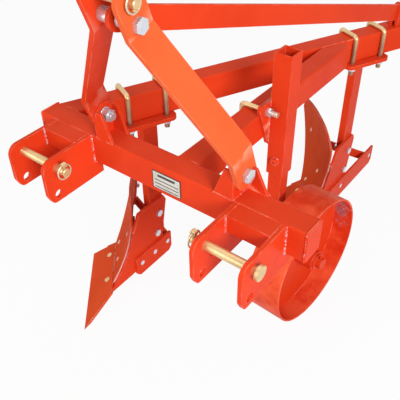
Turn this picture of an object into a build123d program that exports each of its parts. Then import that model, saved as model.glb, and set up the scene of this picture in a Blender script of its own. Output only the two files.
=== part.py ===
from build123d import *
import math
import os

# A mounted two-furrow plough. Millimetres, Z up, ground at Z = 0.
# The tractor is on the -Y side, the unploughed land on the +X side.
# Lengths marked "from the hitch" are measured from the hitch centre plane in X,
# from the front face of the cross beam in Y and from the top of the beams in Z.

# Place of the hitch centre plane and of the cross beam's front face
HITCH_X = 92.36
FRONT_Y = -507.0
BEAM_TOP = 645.0

# Frame tubes
TUBE_H = 80.0
TUBE_W = 60.0
TUBE_WALL = 5.0
TUBE_CORNER = 5.0
CAP_T = 4.0
CROSS_RIGHT = 405.0
CROSS_LEFT = 383.0
MAIN_ANGLE = 25.85
MAIN_START = -358.5
MAIN_LEN = 1180.0
BRACE_X = 35.4
BRACE_LEN = 755.0

# Lower hitch clevises
LEFT_CLEVIS_X = 269.75
RIGHT_CLEVIS_X = 283.75
CHEEK_GAP = 107.0
CHEEK_T = 10.0
CHEEK_REACH = 158.0
CHEEK_DROP = 123.0
CHEEK_UNDER = 25.0
CHEEK_TOE = (13.0, 28.0)
CHEEK_ROUND = 28.0
CHEEK_TOE_ROUND = 16.0
PIN_REACH = 118.0
PIN_DROP = 29.0
SPARE_REACH = 126.0
SPARE_DROP = 102.0
STOP_REACH = 96.0
STOP_DROP = 76.0
STOP_HOLE_R = 4.0
BLOCK_DEPTH = 48.0
BLOCK_HEIGHT = 45.0
BLOCK_WALL = 6.0

# Hitch pins, linch pins and their rings
LOWER_PIN_R = 11.0
LOWER_PIN_LEN = 164.0
TOP_PIN_R = 9.5
PIN_FIT = 0.08
PIN_HEAD_R = 17.5
PIN_HEAD_T = 8.0
PIN_CHAMFER = 1.5
LEFT_HEAD_GAP = 10.0
RIGHT_HEAD_GAP = 2.0
TOP_HEAD_GAP = 2.0
LINCH_R = 4.0
LINCH_FIT = 0.15
LINCH_INSET = 9.0
LINCH_BELOW = 4.5
LINCH_HEAD_R = 7.0
LINCH_HEAD_W = 12.0
RING_WIRE_R = 2.0
RING_SLACK = 6.0
RING_BORE_R = 3.2
RING_GAP_ANGLE = 9.0

# Data plate
PLATE_W = 83.0
PLATE_H = 50.0
PLATE_T = 1.5
PLATE_X = 17.0
PLATE_DROP = 42.0

# Mast
FOOT_X = 201.0
FOOT_T = 7.0
FOOT_DEPTH_LOW = 51.0
FOOT_DEPTH_HIGH = 24.0
FOOT_FLANGE_TOP = 72.0
GUSSET_OUT = 52.4
GUSSET_TOP = 59.0
GUSSET_TOP_W = 9.6
GUSSET_NOTCH = 22.0
GUSSET_GAP = 0.5
MAST_BOLT_UP = 55.0
MAST_BOLT_R = 10.0
BOLT_FIT = 0.3
MAST_BAR_W = 68.0
MAST_BAR_T = 12.0
MAST_SET_BACK = 2.5
MAST_TOE_ROUND = 26.0
MAST_HEEL_ROUND = 10.0
MAST_LEAN = 19.5
MAST_STRAIGHT = 62.8
MAST_BEND = 31.7
MAST_TOP_GAP = 76.0
TOP_LINK_UP = 426.0
STAY_HOLE_BELOW = 48.0
MAST_TOP_MARGIN = 32.0
MAST_NUT_AF = 30.0
MAST_NUT_T = 16.0
MAST_HEAD_T = 12.5
MAST_TAIL = 9.0
MAST_WASHER_R = 18.0
MAST_WASHER_T = 3.0

# Mast stay
STAY_W = 50.0
STAY_T = 10.0
STAY_SIDE_GAP = 0.3
SPACER_R = 15.0
SPACER_INNER = 7.0
LUG_INSET = 30.0
LUG_UP = 36.0
LUG_T = 10.0
LUG_LEN = 60.0

# Body clamps on the main beam
CLAMP_ALONG = (257.0, 1011.7)
U_SPACING = 109.5
U_ROD_R = 7.0
U_GAP = 0.2
U_BEND_R = 9.5
U_TAIL = 27.0
CLAMP_LEN = 164.0
CLAMP_OVERHANG = 28.0
CLAMP_T = 12.0
CLAMP_ROUND = 20.0
NUT_AF = 22.0
NUT_T = 12.0
THREAD_FIT = 0.05

# Plough bodies: the land face of the frog plate in X, the leg's middle in Y
BODY_X = (-260.5, 70.5)
BODY_Y = (264.0, 936.0)
LANDSIDE_REAR = (41.0, 236.0)
LEG_W = 60.0
LEG_T = 25.0
LEG_END_UP = 85.0
FROG_T = 10.0
FROG_TOP = 243.0
FROG_BOTTOM = 23.0
FROG_REAR = 8.0
FROG_SLOPE = 28.0
FROG_CORNER = 20.0
FROG_FRONT_TOP = -92.0
FROG_FRONT_LOW = -119.0
FROG_SHOULDER = 187.0
LANDSIDE_T = 8.5
LANDSIDE_BOTTOM = 4.0
LANDSIDE_H = 77.0
LANDSIDE_FRONT = -132.0
LANDSIDE_CHAMFER = 14.0
CUT_ANGLE = 40.0
BOARD_R = 290.0
BOARD_MID_UP = 230.0
BOARD_BACK = -86.9
BOARD_T = 6.0
SEAM_UP = 42.0
SEAM_GAP = 1.0
SHIN_BACK = -11.5
SHIN_TOP_U = -120.0
SHIN_TOP_UP = 215.0
SHIN_MID_U = -40.0
SHIN_MID_UP = 263.0
CREST_U = 30.0
CREST_UP = 276.0
SEAM_END_U = 25.0
WING_MID_U = 190.0
WING_MID_LOW = 106.0
WING_MID_HIGH = 249.0
WING_U = 362.0
WING_LOW = 164.0
WING_HIGH = 196.0
WING_SLANT = 10.0
SHARE_FRONT = -234.6
SHARE_T = 10.0
SHARE_LIP = 2.0
SHARE_TIP_LAND = 19.5
SHARE_LAND = 7.5
SHARE_WING_U = 13.8
BEARER_T = 10.0
BEARER_GAP = 0.3
BEARER_TOP = 145.0
BEARER_WING = 37.0
SHARE_BEARER_START = 52.0

# Body fasteners
LEG_BOLT_R = 7.0
LEG_BOLTS = ((-3.0, 190.0), (-18.5, 115.0))
SIDE_BOLT_UP = 48.0
SIDE_BOLTS = ((-104.0, -41.0, 24.0), (-104.0, -32.0, 211.0))
PLOUGH_BOLT_R = 5.0
PLOUGH_HEAD_R = 8.5
PLOUGH_HEAD_T = 3.0
BOARD_BOLTS = ((-21.0, 117.0), (7.0, 60.0), (-72.0, 60.0))
SHARE_BOLTS = (-25.0, -137.0)
SHARE_BOLT_UP = 66.0
SMALL_NUT_AF = 18.0
SMALL_NUT_T = 9.0
BOLT_HEAD_T = 8.0
BOLT_TAIL = 4.0
STAY_BAR_W = 32.0
STAY_BAR_T = 8.0
STAY_TAB = 12.0
STAY_STEP = (15.0, -18.0)
STAY_BEND_U = 118.0
STAY_BOLT = (192.0, 157.0)
SMALL_TAIL = 2.0

# Depth wheel and its post
SLEEVE_Y = 372.0
SLEEVE_OUT = 50.0
SLEEVE_WALL = 4.5
SLEEVE_ABOVE = 165.0
SLEEVE_BELOW = 112.0
POST_OUT = 40.0
POST_WALL = 5.0
POST_TOP_INSET = 45.0
POST_TAIL = 32.0
EAR_T = 10.0
EAR_OUTLINE = ((0.0, 73.0), (69.0, 73.0), (73.0, 59.0), (29.0, -55.0))
HOOK_REACH = 14.0
HOOK_DROP = 35.0
HOOK_TAIL = 20.0
SCREW_DROP = 145.0
SCREW_R = 6.0
BOSS_AF = 19.0
BOSS_T = 10.0
SCREW_PROUD = 1.0
SCREW_TIP_GAP = 0.3
SCREW_SOCKET_AF = 6.0
WHEEL_R = 198.0
WHEEL_W = 108.7
WHEEL_TOE = 3.3
WHEEL_OUT = 158.4
RIM_T = 6.0
DISC_T = 6.0
DISC_INSET = 62.0
HUB_R = 30.0
HUB_LEN = 115.6
HUB_INSET = 4.4
BUSH_T = 4.0
BUSH_LEN = 30.0
AXLE_R = 16.0
AXLE_FIT = 0.08
AXLE_END = 10.0
COLLAR_R = 24.0
WASHER_T = 6.0
COTTER_R = 3.0
COLLAR_CLEAR = 2.0
AXLE_STUB = 3.0
SIDE_PLAY = 0.3
WELD_GAP = 0.05

CROSS_MID_Z = BEAM_TOP - TUBE_H / 2
BEAM_BOTTOM = BEAM_TOP - TUBE_H
BACK_Y = FRONT_Y + TUBE_W

# Local plane of the main beam: x along the beam, y from its near face to its far face
main_dir = Vector(math.sin(math.radians(MAIN_ANGLE)), math.cos(math.radians(MAIN_ANGLE)), 0)
main_plane = Plane(origin=(HITCH_X + MAIN_START, FRONT_Y, BEAM_TOP), x_dir=main_dir, z_dir=(0, 0, 1))

# Plan directions of a plough body: along the cutting edge and square to it
edge_dir = Vector(-math.sin(math.radians(CUT_ANGLE)), math.cos(math.radians(CUT_ANGLE)), 0)
back_dir = Vector(math.cos(math.radians(CUT_ANGLE)), math.sin(math.radians(CUT_ANGLE)), 0)


def side_plane(x, y=0.0, z=0.0):
    """Plane square to X whose local axes are the world's Y and Z."""
    return Plane(origin=(x, y, z), x_dir=(0, 1, 0), z_dir=(1, 0, 0))


def front_plane(x, y, z):
    """Plane facing the tractor whose local axes are the world's X and Z."""
    return Plane(origin=(x, y, z), x_dir=(1, 0, 0), z_dir=(0, -1, 0))


def keep(piece, name):
    """Label one piece and write its file."""
    piece.label = name
    export_step(piece, f"parts/{name}.step")


os.makedirs("parts", exist_ok=True)

# Cross beam
with BuildPart() as cross_beam:
    with BuildSketch(side_plane(HITCH_X - CROSS_RIGHT + CAP_T, FRONT_Y + TUBE_W / 2, CROSS_MID_Z)):
        RectangleRounded(TUBE_W, TUBE_H, TUBE_CORNER)
        Rectangle(TUBE_W - 2 * TUBE_WALL, TUBE_H - 2 * TUBE_WALL, mode=Mode.SUBTRACT)
    extrude(amount=CROSS_RIGHT + CROSS_LEFT - 2 * CAP_T)
keep(cross_beam.part, "cross_beam")

# Main beam, cut square to the ground where it meets the cross beam's back face
main_section = Plane(
    origin=main_plane.from_local_coords((0, TUBE_W / 2, -TUBE_H / 2)),
    x_dir=main_plane.y_dir,
    z_dir=main_dir,
)
with BuildPart() as main_beam:
    with BuildSketch(main_section):
        RectangleRounded(TUBE_W, TUBE_H, TUBE_CORNER)
        Rectangle(TUBE_W - 2 * TUBE_WALL, TUBE_H - 2 * TUBE_WALL, mode=Mode.SUBTRACT)
    extrude(amount=MAIN_LEN - CAP_T)
    split(bisect_by=Plane(origin=(0, BACK_Y, 0), z_dir=(0, 1, 0)), keep=Keep.TOP)
keep(main_beam.part, "main_beam")

# Brace beam, straight back from the cross beam, mitred to the main beam's near face
brace_section = Plane(
    origin=(HITCH_X + BRACE_X, BACK_Y, CROSS_MID_Z),
    x_dir=(1, 0, 0),
    z_dir=(0, 1, 0),
)
with BuildPart() as brace_beam:
    with BuildSketch(brace_section):
        RectangleRounded(TUBE_W, TUBE_H, TUBE_CORNER)
    extrude(amount=BRACE_LEN)
    with BuildSketch(brace_section):
        Rectangle(TUBE_W - 2 * TUBE_WALL, TUBE_H - 2 * TUBE_WALL)
    extrude(amount=BRACE_LEN - TUBE_WALL, mode=Mode.SUBTRACT)
    split(bisect_by=Plane(origin=main_plane.origin, z_dir=-main_plane.y_dir), keep=Keep.TOP)
keep(brace_beam.part, "brace_beam")

# Plates that close the free ends of the cross beam and of the main beam
with BuildPart() as end_caps:
    for x in (HITCH_X - CROSS_RIGHT, HITCH_X + CROSS_LEFT - CAP_T):
        with BuildSketch(side_plane(x, FRONT_Y + TUBE_W / 2, CROSS_MID_Z)):
            RectangleRounded(TUBE_W, TUBE_H, TUBE_CORNER)
        extrude(amount=CAP_T)
    with BuildSketch(main_section.offset(MAIN_LEN - CAP_T)):
        RectangleRounded(TUBE_W, TUBE_H, TUBE_CORNER)
    extrude(amount=CAP_T)
keep(end_caps.part, "beam_end_caps")


def clevis_cheeks(centre_x):
    """The two upright cheeks of one lower hitch clevis."""
    step = (CHEEK_GAP + CHEEK_T) / 2
    with BuildPart() as cheeks:
        for x in (centre_x - step, centre_x + step):
            with BuildSketch(side_plane(x, FRONT_Y, BEAM_TOP)):
                with BuildLine():
                    Polyline(
                        (0, 0),
                        (-CHEEK_REACH, 0),
                        (-CHEEK_REACH, CHEEK_TOE[1] - CHEEK_DROP),
                        (CHEEK_TOE[0] - CHEEK_REACH, -CHEEK_DROP),
                        (CHEEK_UNDER, -CHEEK_DROP),
                        (CHEEK_UNDER, -TUBE_H),
                        (0, -TUBE_H),
                        close=True,
                    )
                make_face()
                fillet(vertices().group_by(Axis.X)[0], CHEEK_ROUND)
                fillet(vertices().group_by(Axis.Y)[0].sort_by(Axis.X)[0], CHEEK_TOE_ROUND)
                with Locations((-PIN_REACH, -PIN_DROP), (-SPARE_REACH, -SPARE_DROP)):
                    Circle(LOWER_PIN_R + PIN_FIT, mode=Mode.SUBTRACT)
                if x < centre_x:
                    with Locations((-STOP_REACH, -STOP_DROP)):
                        Circle(STOP_HOLE_R, mode=Mode.SUBTRACT)
            extrude(amount=CHEEK_T / 2, both=True)
    return cheeks.part


left_x = HITCH_X + LEFT_CLEVIS_X
right_x = HITCH_X - RIGHT_CLEVIS_X
keep(clevis_cheeks(left_x), "left_clevis_cheeks")
keep(clevis_cheeks(right_x), "right_clevis_cheeks")

# Short box-section blocks that hold the cheeks apart against the cross beam
with BuildPart() as hitch_blocks:
    for x in (left_x, right_x):
        with BuildSketch(side_plane(x, FRONT_Y - BLOCK_DEPTH / 2, BEAM_TOP - BLOCK_HEIGHT / 2)):
            Rectangle(BLOCK_DEPTH, BLOCK_HEIGHT)
            Rectangle(BLOCK_DEPTH - 2 * BLOCK_WALL, BLOCK_HEIGHT - 2 * BLOCK_WALL, mode=Mode.SUBTRACT)
        extrude(amount=CHEEK_GAP / 2, both=True)
keep(hitch_blocks.part, "hitch_blocks")

# Mast geometry: bar path in the leaning plane, x away from the hitch centre and y up the lean
lean = math.radians(MAST_LEAN)
bend = math.radians(MAST_BEND)
lean_up = Vector(0, -math.sin(lean), math.cos(lean))
mast_foot_point = Vector(HITCH_X, FRONT_Y + TUBE_W / 2, BEAM_TOP + MAST_BOLT_UP)
mast_low_x = FOOT_X + MAST_BAR_T / 2
mast_top_x = (MAST_TOP_GAP + MAST_BAR_T) / 2
top_bend_l = MAST_STRAIGHT + (mast_low_x - mast_top_x) / math.tan(bend)
top_link_l = (TOP_LINK_UP - MAST_BOLT_UP) / math.cos(lean)
stay_hole_l = top_link_l - STAY_HOLE_BELOW
mast_end_l = top_link_l + MAST_TOP_MARGIN
top_link_point = mast_foot_point + lean_up * top_link_l
stay_front_point = mast_foot_point + lean_up * stay_hole_l


def pin_plane(point, direction):
    """Plane with z along a hitch pin, from its head to its end, and x upwards."""
    return Plane(origin=point, x_dir=(0, 0, 1), z_dir=(direction, 0, 0))


def hitch_pin(plane, radius, length):
    """Headed pin with a cross hole for its linch pin; the plane is under the head."""
    with BuildPart() as pin:
        with BuildSketch(plane.offset(-PIN_HEAD_T)):
            Circle(PIN_HEAD_R)
        extrude(amount=PIN_HEAD_T)
        with BuildSketch(plane):
            Circle(radius)
        extrude(amount=length)
        axis = Axis(plane.origin, plane.z_dir)
        chamfer(edges().filter_by(GeomType.CIRCLE).sort_by(axis)[-1], PIN_CHAMFER)
        hole = Plane(
            origin=plane.from_local_coords((0, 0, length - LINCH_INSET)),
            x_dir=plane.z_dir,
            z_dir=plane.x_dir,
        )
        with BuildSketch(hole):
            Circle(LINCH_R + LINCH_FIT)
        extrude(amount=radius, both=True, mode=Mode.SUBTRACT)
    return pin.part


def linch_pin(plane, radius, length):
    """Upright pin through the hitch pin's end, with a bored cross head on top."""
    ring_r = radius + RING_SLACK + RING_WIRE_R
    cross = plane.from_local_coords((0, 0, length - LINCH_INSET))
    head_z = ring_r * math.cos(math.radians(2 * RING_GAP_ANGLE))
    with BuildPart() as linch:
        with BuildSketch(Plane(origin=cross - Vector(0, 0, radius + LINCH_BELOW), z_dir=(0, 0, 1))):
            Circle(LINCH_R)
        extrude(amount=radius + LINCH_BELOW + head_z)
        with BuildSketch(Plane(origin=cross + Vector(0, 0, head_z), x_dir=(1, 0, 0), z_dir=(0, 1, 0))):
            Circle(LINCH_HEAD_R)
        extrude(amount=LINCH_HEAD_W / 2, both=True)
        with BuildSketch(Plane(origin=cross + Vector(0, 0, head_z), x_dir=(1, 0, 0), z_dir=(0, 1, 0))):
            Circle(RING_BORE_R)
        extrude(amount=LINCH_HEAD_W / 2, both=True, mode=Mode.SUBTRACT)
    return linch.part


def linch_ring(plane, radius, length):
    """Spring ring that snaps round the hitch pin's end, its tips in the linch pin's head."""
    ring_r = radius + RING_SLACK + RING_WIRE_R
    cross = plane.from_local_coords((0, 0, length - LINCH_INSET))
    gap = math.radians(RING_GAP_ANGLE)
    out = Vector(0, -math.sin(gap), math.cos(gap))
    along = Vector(0, -math.cos(gap), -math.sin(gap))
    with BuildPart() as ring:
        with BuildSketch(Plane(origin=cross + out * ring_r, x_dir=(1, 0, 0), z_dir=along)):
            Circle(RING_WIRE_R)
        revolve(axis=Axis(cross, (1, 0, 0)), revolution_arc=360 - 2 * RING_GAP_ANGLE)
    return ring.part


lower_y = FRONT_Y - PIN_REACH
lower_z = BEAM_TOP - PIN_DROP
clevis_half = CHEEK_GAP / 2 + CHEEK_T
top_pin_len = MAST_TOP_GAP + 2 * MAST_BAR_T + TOP_HEAD_GAP + 2 * LINCH_INSET
left_head_x = left_x + clevis_half + LEFT_HEAD_GAP
right_head_x = right_x - clevis_half - RIGHT_HEAD_GAP
hitch_pins = (
    ("left", pin_plane((left_head_x, lower_y, lower_z), -1), LOWER_PIN_R, LOWER_PIN_LEN),
    ("right", pin_plane((right_head_x, lower_y, lower_z), 1), LOWER_PIN_R, LOWER_PIN_LEN),
    (
        "top",
        pin_plane(top_link_point - Vector(mast_top_x + MAST_BAR_T / 2 + TOP_HEAD_GAP, 0, 0), 1),
        TOP_PIN_R,
        top_pin_len,
    ),
)
for side, plane, radius, length in hitch_pins:
    keep(hitch_pin(plane, radius, length), f"{side}_hitch_pin")
    keep(linch_pin(plane, radius, length), f"{side}_linch_pin")
    keep(linch_ring(plane, radius, length), f"{side}_linch_ring")

# Data plate on the cross beam's front face
with BuildPart() as data_plate:
    with BuildSketch(front_plane(HITCH_X + PLATE_X, FRONT_Y, BEAM_TOP - PLATE_DROP)):
        Rectangle(PLATE_W, PLATE_H)
    extrude(amount=PLATE_T)
keep(data_plate.part, "data_plate")


def mast_foot(side):
    """Upright channel bracket on the cross beam, open to the hitch centre, with a gusset outside."""
    web_x = HITCH_X + side * FOOT_X
    round_r = TUBE_W / 2
    beside_leg = MAST_BAR_T + GUSSET_GAP
    with BuildPart() as foot:
        with BuildSketch(side_plane(web_x, FRONT_Y + TUBE_W / 2, BEAM_TOP)):
            with Locations((0, MAST_BOLT_UP / 2)):
                Rectangle(TUBE_W, MAST_BOLT_UP)
            with Locations((0, MAST_BOLT_UP)):
                Circle(round_r)
                Circle(MAST_BOLT_R + BOLT_FIT, mode=Mode.SUBTRACT)
        extrude(amount=-side * FOOT_T)
        for y in (FRONT_Y, BACK_Y - FOOT_T):
            with BuildSketch(front_plane(web_x, y + FOOT_T, BEAM_TOP)):
                with BuildLine():
                    Polyline(
                        (0, 0),
                        (-side * FOOT_DEPTH_LOW, 0),
                        (-side * FOOT_DEPTH_HIGH, FOOT_FLANGE_TOP),
                        (-side * FOOT_T, FOOT_FLANGE_TOP),
                        (-side * FOOT_T, MAST_BOLT_UP),
                        (0, MAST_BOLT_UP),
                        close=True,
                    )
                make_face()
            extrude(amount=FOOT_T)
        with BuildSketch(front_plane(web_x, BACK_Y, BEAM_TOP)):
            with BuildLine():
                Polyline(
                    (0, 0),
                    (side * GUSSET_OUT, 0),
                    (side * (beside_leg + GUSSET_TOP_W), GUSSET_TOP),
                    (side * beside_leg, GUSSET_TOP),
                    (side * beside_leg, GUSSET_NOTCH),
                    (0, GUSSET_NOTCH),
                    close=True,
                )
            make_face()
        extrude(amount=FOOT_T)
    return foot.part


def mast_leg(side):
    """Flat bar, bent inwards above the foot and upright again at the top link."""
    half = MAST_BAR_T / 2
    slant = half * math.tan(bend / 2)
    through = Plane(origin=mast_foot_point, x_dir=(1, 0, 0), z_dir=Vector(1, 0, 0).cross(lean_up))
    centre = through.offset(-MAST_SET_BACK)
    with BuildPart() as leg:
        with BuildSketch(centre):
            with BuildLine():
                Polyline(
                    (side * (mast_low_x + half), -MAST_BAR_W / 2),
                    (side * (mast_low_x + half), MAST_STRAIGHT + slant),
                    (side * (mast_top_x + half), top_bend_l + slant),
                    (side * (mast_top_x + half), mast_end_l),
                    (side * (mast_top_x - half), mast_end_l),
                    (side * (mast_top_x - half), top_bend_l - slant),
                    (side * (mast_low_x - half), MAST_STRAIGHT - slant),
                    (side * (mast_low_x - half), -MAST_BAR_W / 2),
                    close=True,
                )
            make_face()
        extrude(amount=MAST_BAR_W / 2, both=True)
        up_leg = Axis(mast_foot_point, lean_up)
        fillet(edges().filter_by(Axis.X).group_by(up_leg)[-1], MAST_BAR_W / 2 - 1)
        fillet(edges().filter_by(Axis.X).group_by(up_leg)[0].sort_by(Axis.Y)[0], MAST_TOE_ROUND)
        fillet(edges().filter_by(Axis.X).group_by(up_leg)[0].sort_by(Axis.Y)[-1], MAST_HEEL_ROUND)
        for along, radius in (
            (0, MAST_BOLT_R + BOLT_FIT),
            (stay_hole_l, MAST_BOLT_R + BOLT_FIT),
            (top_link_l, TOP_PIN_R + PIN_FIT),
        ):
            middle = mast_foot_point + lean_up * along
            with BuildSketch(side_plane(*middle)):
                Circle(radius)
            extrude(amount=side * (mast_low_x + MAST_BAR_T), mode=Mode.SUBTRACT)
    return leg.part


for name, side in (("left", 1), ("right", -1)):
    keep(mast_foot(side), f"{name}_mast_foot")
    keep(mast_leg(side), f"{name}_mast_leg")


def hex_bolt(plane, radius, length, across_flats, head_t):
    """Hex-headed bolt; the plane lies under the head and its z runs along the shank."""
    with BuildPart() as bolt:
        with BuildSketch(plane.offset(-head_t)):
            RegularPolygon(across_flats / 2, 6, major_radius=False)
        extrude(amount=head_t)
        with BuildSketch(plane):
            Circle(radius)
        extrude(amount=length)
    return bolt.part


def hex_nut(plane, radius, across_flats, thick):
    """Hex nut standing on a plane."""
    with BuildPart() as nut:
        with BuildSketch(plane):
            RegularPolygon(across_flats / 2, 6, major_radius=False)
            Circle(radius + THREAD_FIT, mode=Mode.SUBTRACT)
        extrude(amount=thick)
    return nut.part


def flush_bolt(plane, length):
    """Plough bolt whose round head lies flush in the plate; the plane is the plate's face."""
    with BuildPart() as bolt:
        with BuildSketch(plane):
            Circle(PLOUGH_HEAD_R)
        extrude(amount=PLOUGH_HEAD_T)
        with BuildSketch(plane):
            Circle(PLOUGH_BOLT_R)
        extrude(amount=length)
    return bolt.part


def flush_hole(plane, depth):
    """The seat and the hole that a plough bolt leaves in its plate."""
    with BuildPart() as hole:
        with BuildSketch(plane):
            Circle(PLOUGH_HEAD_R + BOLT_FIT)
        extrude(amount=PLOUGH_HEAD_T)
        with BuildSketch(plane):
            Circle(PLOUGH_BOLT_R + BOLT_FIT)
        extrude(amount=depth, both=True)
    return hole.part


# Mast stay: one flat bar from the mast head to lugs at the main beam's rear end
stay_rear_point = main_plane.from_local_coords((MAIN_LEN - LUG_INSET, TUBE_W / 2, LUG_UP))
stay_vector = stay_rear_point - stay_front_point
stay_len = stay_vector.length
stay_heading = Vector(stay_vector.X, stay_vector.Y, 0).normalized()
stay_across = Vector(stay_heading.Y, -stay_heading.X, 0)
with BuildPart() as mast_stay:
    with BuildSketch(Plane(origin=stay_front_point, x_dir=stay_vector, z_dir=stay_across)):
        with Locations((stay_len / 2, 0)):
            SlotCenterToCenter(stay_len, STAY_W)
        with Locations((0, 0), (stay_len, 0)):
            Circle(MAST_BOLT_R + 2 * BOLT_FIT, mode=Mode.SUBTRACT)
    extrude(amount=STAY_T / 2, both=True)
keep(mast_stay.part, "mast_stay")

lug_plane = Plane(origin=stay_rear_point, x_dir=stay_heading, z_dir=stay_across)
lug_face = STAY_T / 2 + STAY_SIDE_GAP
with BuildPart() as stay_lugs:
    for start in (lug_face, -lug_face - LUG_T):
        with BuildSketch(lug_plane.offset(start)):
            with Locations((0, -LUG_UP / 2)):
                Rectangle(LUG_LEN, LUG_UP)
            Circle(LUG_LEN / 2)
            Circle(MAST_BOLT_R + BOLT_FIT, mode=Mode.SUBTRACT)
        extrude(amount=LUG_T)
keep(stay_lugs.part, "stay_lugs")

with BuildPart() as stay_spacers:
    for side in (1, -1):
        with BuildSketch(side_plane(HITCH_X + side * SPACER_INNER, stay_front_point.Y, stay_front_point.Z)):
            Circle(SPACER_R)
            Circle(MAST_BOLT_R + BOLT_FIT, mode=Mode.SUBTRACT)
        extrude(amount=side * (MAST_TOP_GAP / 2 - SPACER_INNER))
keep(stay_spacers.part, "stay_spacers")

# Bolts, nuts and washers of the mast feet, the mast head and the stay's rear end
foot_grip = MAST_BAR_T + FOOT_T + MAST_WASHER_T
head_grip = MAST_TOP_GAP + 2 * MAST_BAR_T
lug_grip = 2 * (lug_face + LUG_T)
mast_joints = []
for side in (1, -1):
    outside = mast_foot_point + Vector(side * (FOOT_X + MAST_BAR_T), 0, 0)
    mast_joints.append((pin_plane(outside, -side), foot_grip))
mast_joints.append((pin_plane(stay_front_point + Vector(head_grip / 2, 0, 0), -1), head_grip))
mast_joints.append((Plane(origin=lug_plane.offset(lug_grip / 2).origin, z_dir=-stay_across), lug_grip))
with BuildPart() as mast_bolts:
    for plane, grip in mast_joints:
        add(hex_bolt(plane, MAST_BOLT_R, grip + MAST_NUT_T + MAST_TAIL, MAST_NUT_AF, MAST_HEAD_T))
keep(mast_bolts.part, "mast_bolts")
with BuildPart() as mast_nuts:
    for plane, grip in mast_joints:
        add(hex_nut(plane.offset(grip), MAST_BOLT_R, MAST_NUT_AF, MAST_NUT_T))
keep(mast_nuts.part, "mast_nuts")
with BuildPart() as mast_washers:
    for plane, grip in mast_joints[:2]:
        with BuildSketch(plane.offset(grip - MAST_WASHER_T)):
            Circle(MAST_WASHER_R)
            Circle(MAST_BOLT_R + BOLT_FIT, mode=Mode.SUBTRACT)
        extrude(amount=MAST_WASHER_T)
keep(mast_washers.part, "mast_washers")

# Body clamps: a plate under the main beam, drawn up by two square-bent U-bolts
rod_out = TUBE_W / 2 + U_ROD_R + U_GAP
rod_low = -(TUBE_H + CLAMP_T + U_TAIL)
body_names = ("front", "rear")
large_nuts = []
u_bolts = []
for name, along in zip(body_names, CLAMP_ALONG):
    under = Plane(
        origin=main_plane.from_local_coords((along, TUBE_W / 2, -TUBE_H)),
        x_dir=main_dir,
        z_dir=(0, 0, 1),
    )
    with BuildPart() as clamp_plate:
        with BuildSketch(under):
            RectangleRounded(CLAMP_LEN, TUBE_W + 2 * CLAMP_OVERHANG, CLAMP_ROUND)
            with GridLocations(U_SPACING, 2 * rod_out, 2, 2):
                Circle(U_ROD_R + BOLT_FIT, mode=Mode.SUBTRACT)
        extrude(amount=-CLAMP_T)
    keep(clamp_plate.part, f"{name}_clamp_plate")
    for step in (-U_SPACING / 2, U_SPACING / 2):
        across = Plane(
            origin=main_plane.from_local_coords((along + step, TUBE_W / 2, 0)),
            x_dir=main_plane.y_dir,
            z_dir=main_dir,
        )
        rod_top = U_ROD_R + U_GAP
        with BuildPart() as u_bolt:
            with BuildLine(across):
                FilletPolyline(
                    (-rod_out, rod_low),
                    (-rod_out, rod_top),
                    (rod_out, rod_top),
                    (rod_out, rod_low),
                    radius=U_BEND_R,
                )
            with BuildSketch(Plane(origin=across.from_local_coords((-rod_out, rod_low, 0)), z_dir=(0, 0, 1))):
                Circle(U_ROD_R)
            sweep()
        u_bolts.append(u_bolt.part)
        for side in (-rod_out, rod_out):
            seat = Plane(origin=across.from_local_coords((side, -TUBE_H - CLAMP_T, 0)), z_dir=(0, 0, -1))
            large_nuts.append(hex_nut(seat, U_ROD_R, NUT_AF, NUT_T))
with BuildPart() as clamp_u_bolts:
    for piece in u_bolts:
        add(piece)
keep(clamp_u_bolts.part, "clamp_u_bolts")

# Shape of the working face in section: x is back from the cutting edge, y is height
board_centre_x = BOARD_BACK - BOARD_R


def board_face(up):
    """Distance back of the mouldboard's face at a height."""
    return board_centre_x + math.sqrt(BOARD_R**2 - (up - BOARD_MID_UP) ** 2)


share_top_x = board_face(SEAM_UP) - SEAM_GAP
share_top_z = SEAM_UP - SEAM_GAP
share_tilt = math.atan2(share_top_z - SHARE_LIP, share_top_x - SHARE_FRONT)
share_under_x = share_top_x + SHARE_T * math.sin(share_tilt)
share_under_z = share_top_z - SHARE_T * math.cos(share_tilt)
share_heel_x = share_under_x - share_under_z / math.tan(share_tilt)
tip_u = (SHARE_FRONT * back_dir.X - SHARE_TIP_LAND) / -edge_dir.X
land_u = (share_top_x * back_dir.X - SHARE_LAND) / -edge_dir.X
sweep_len = 2 * BOARD_R + WING_U


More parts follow.
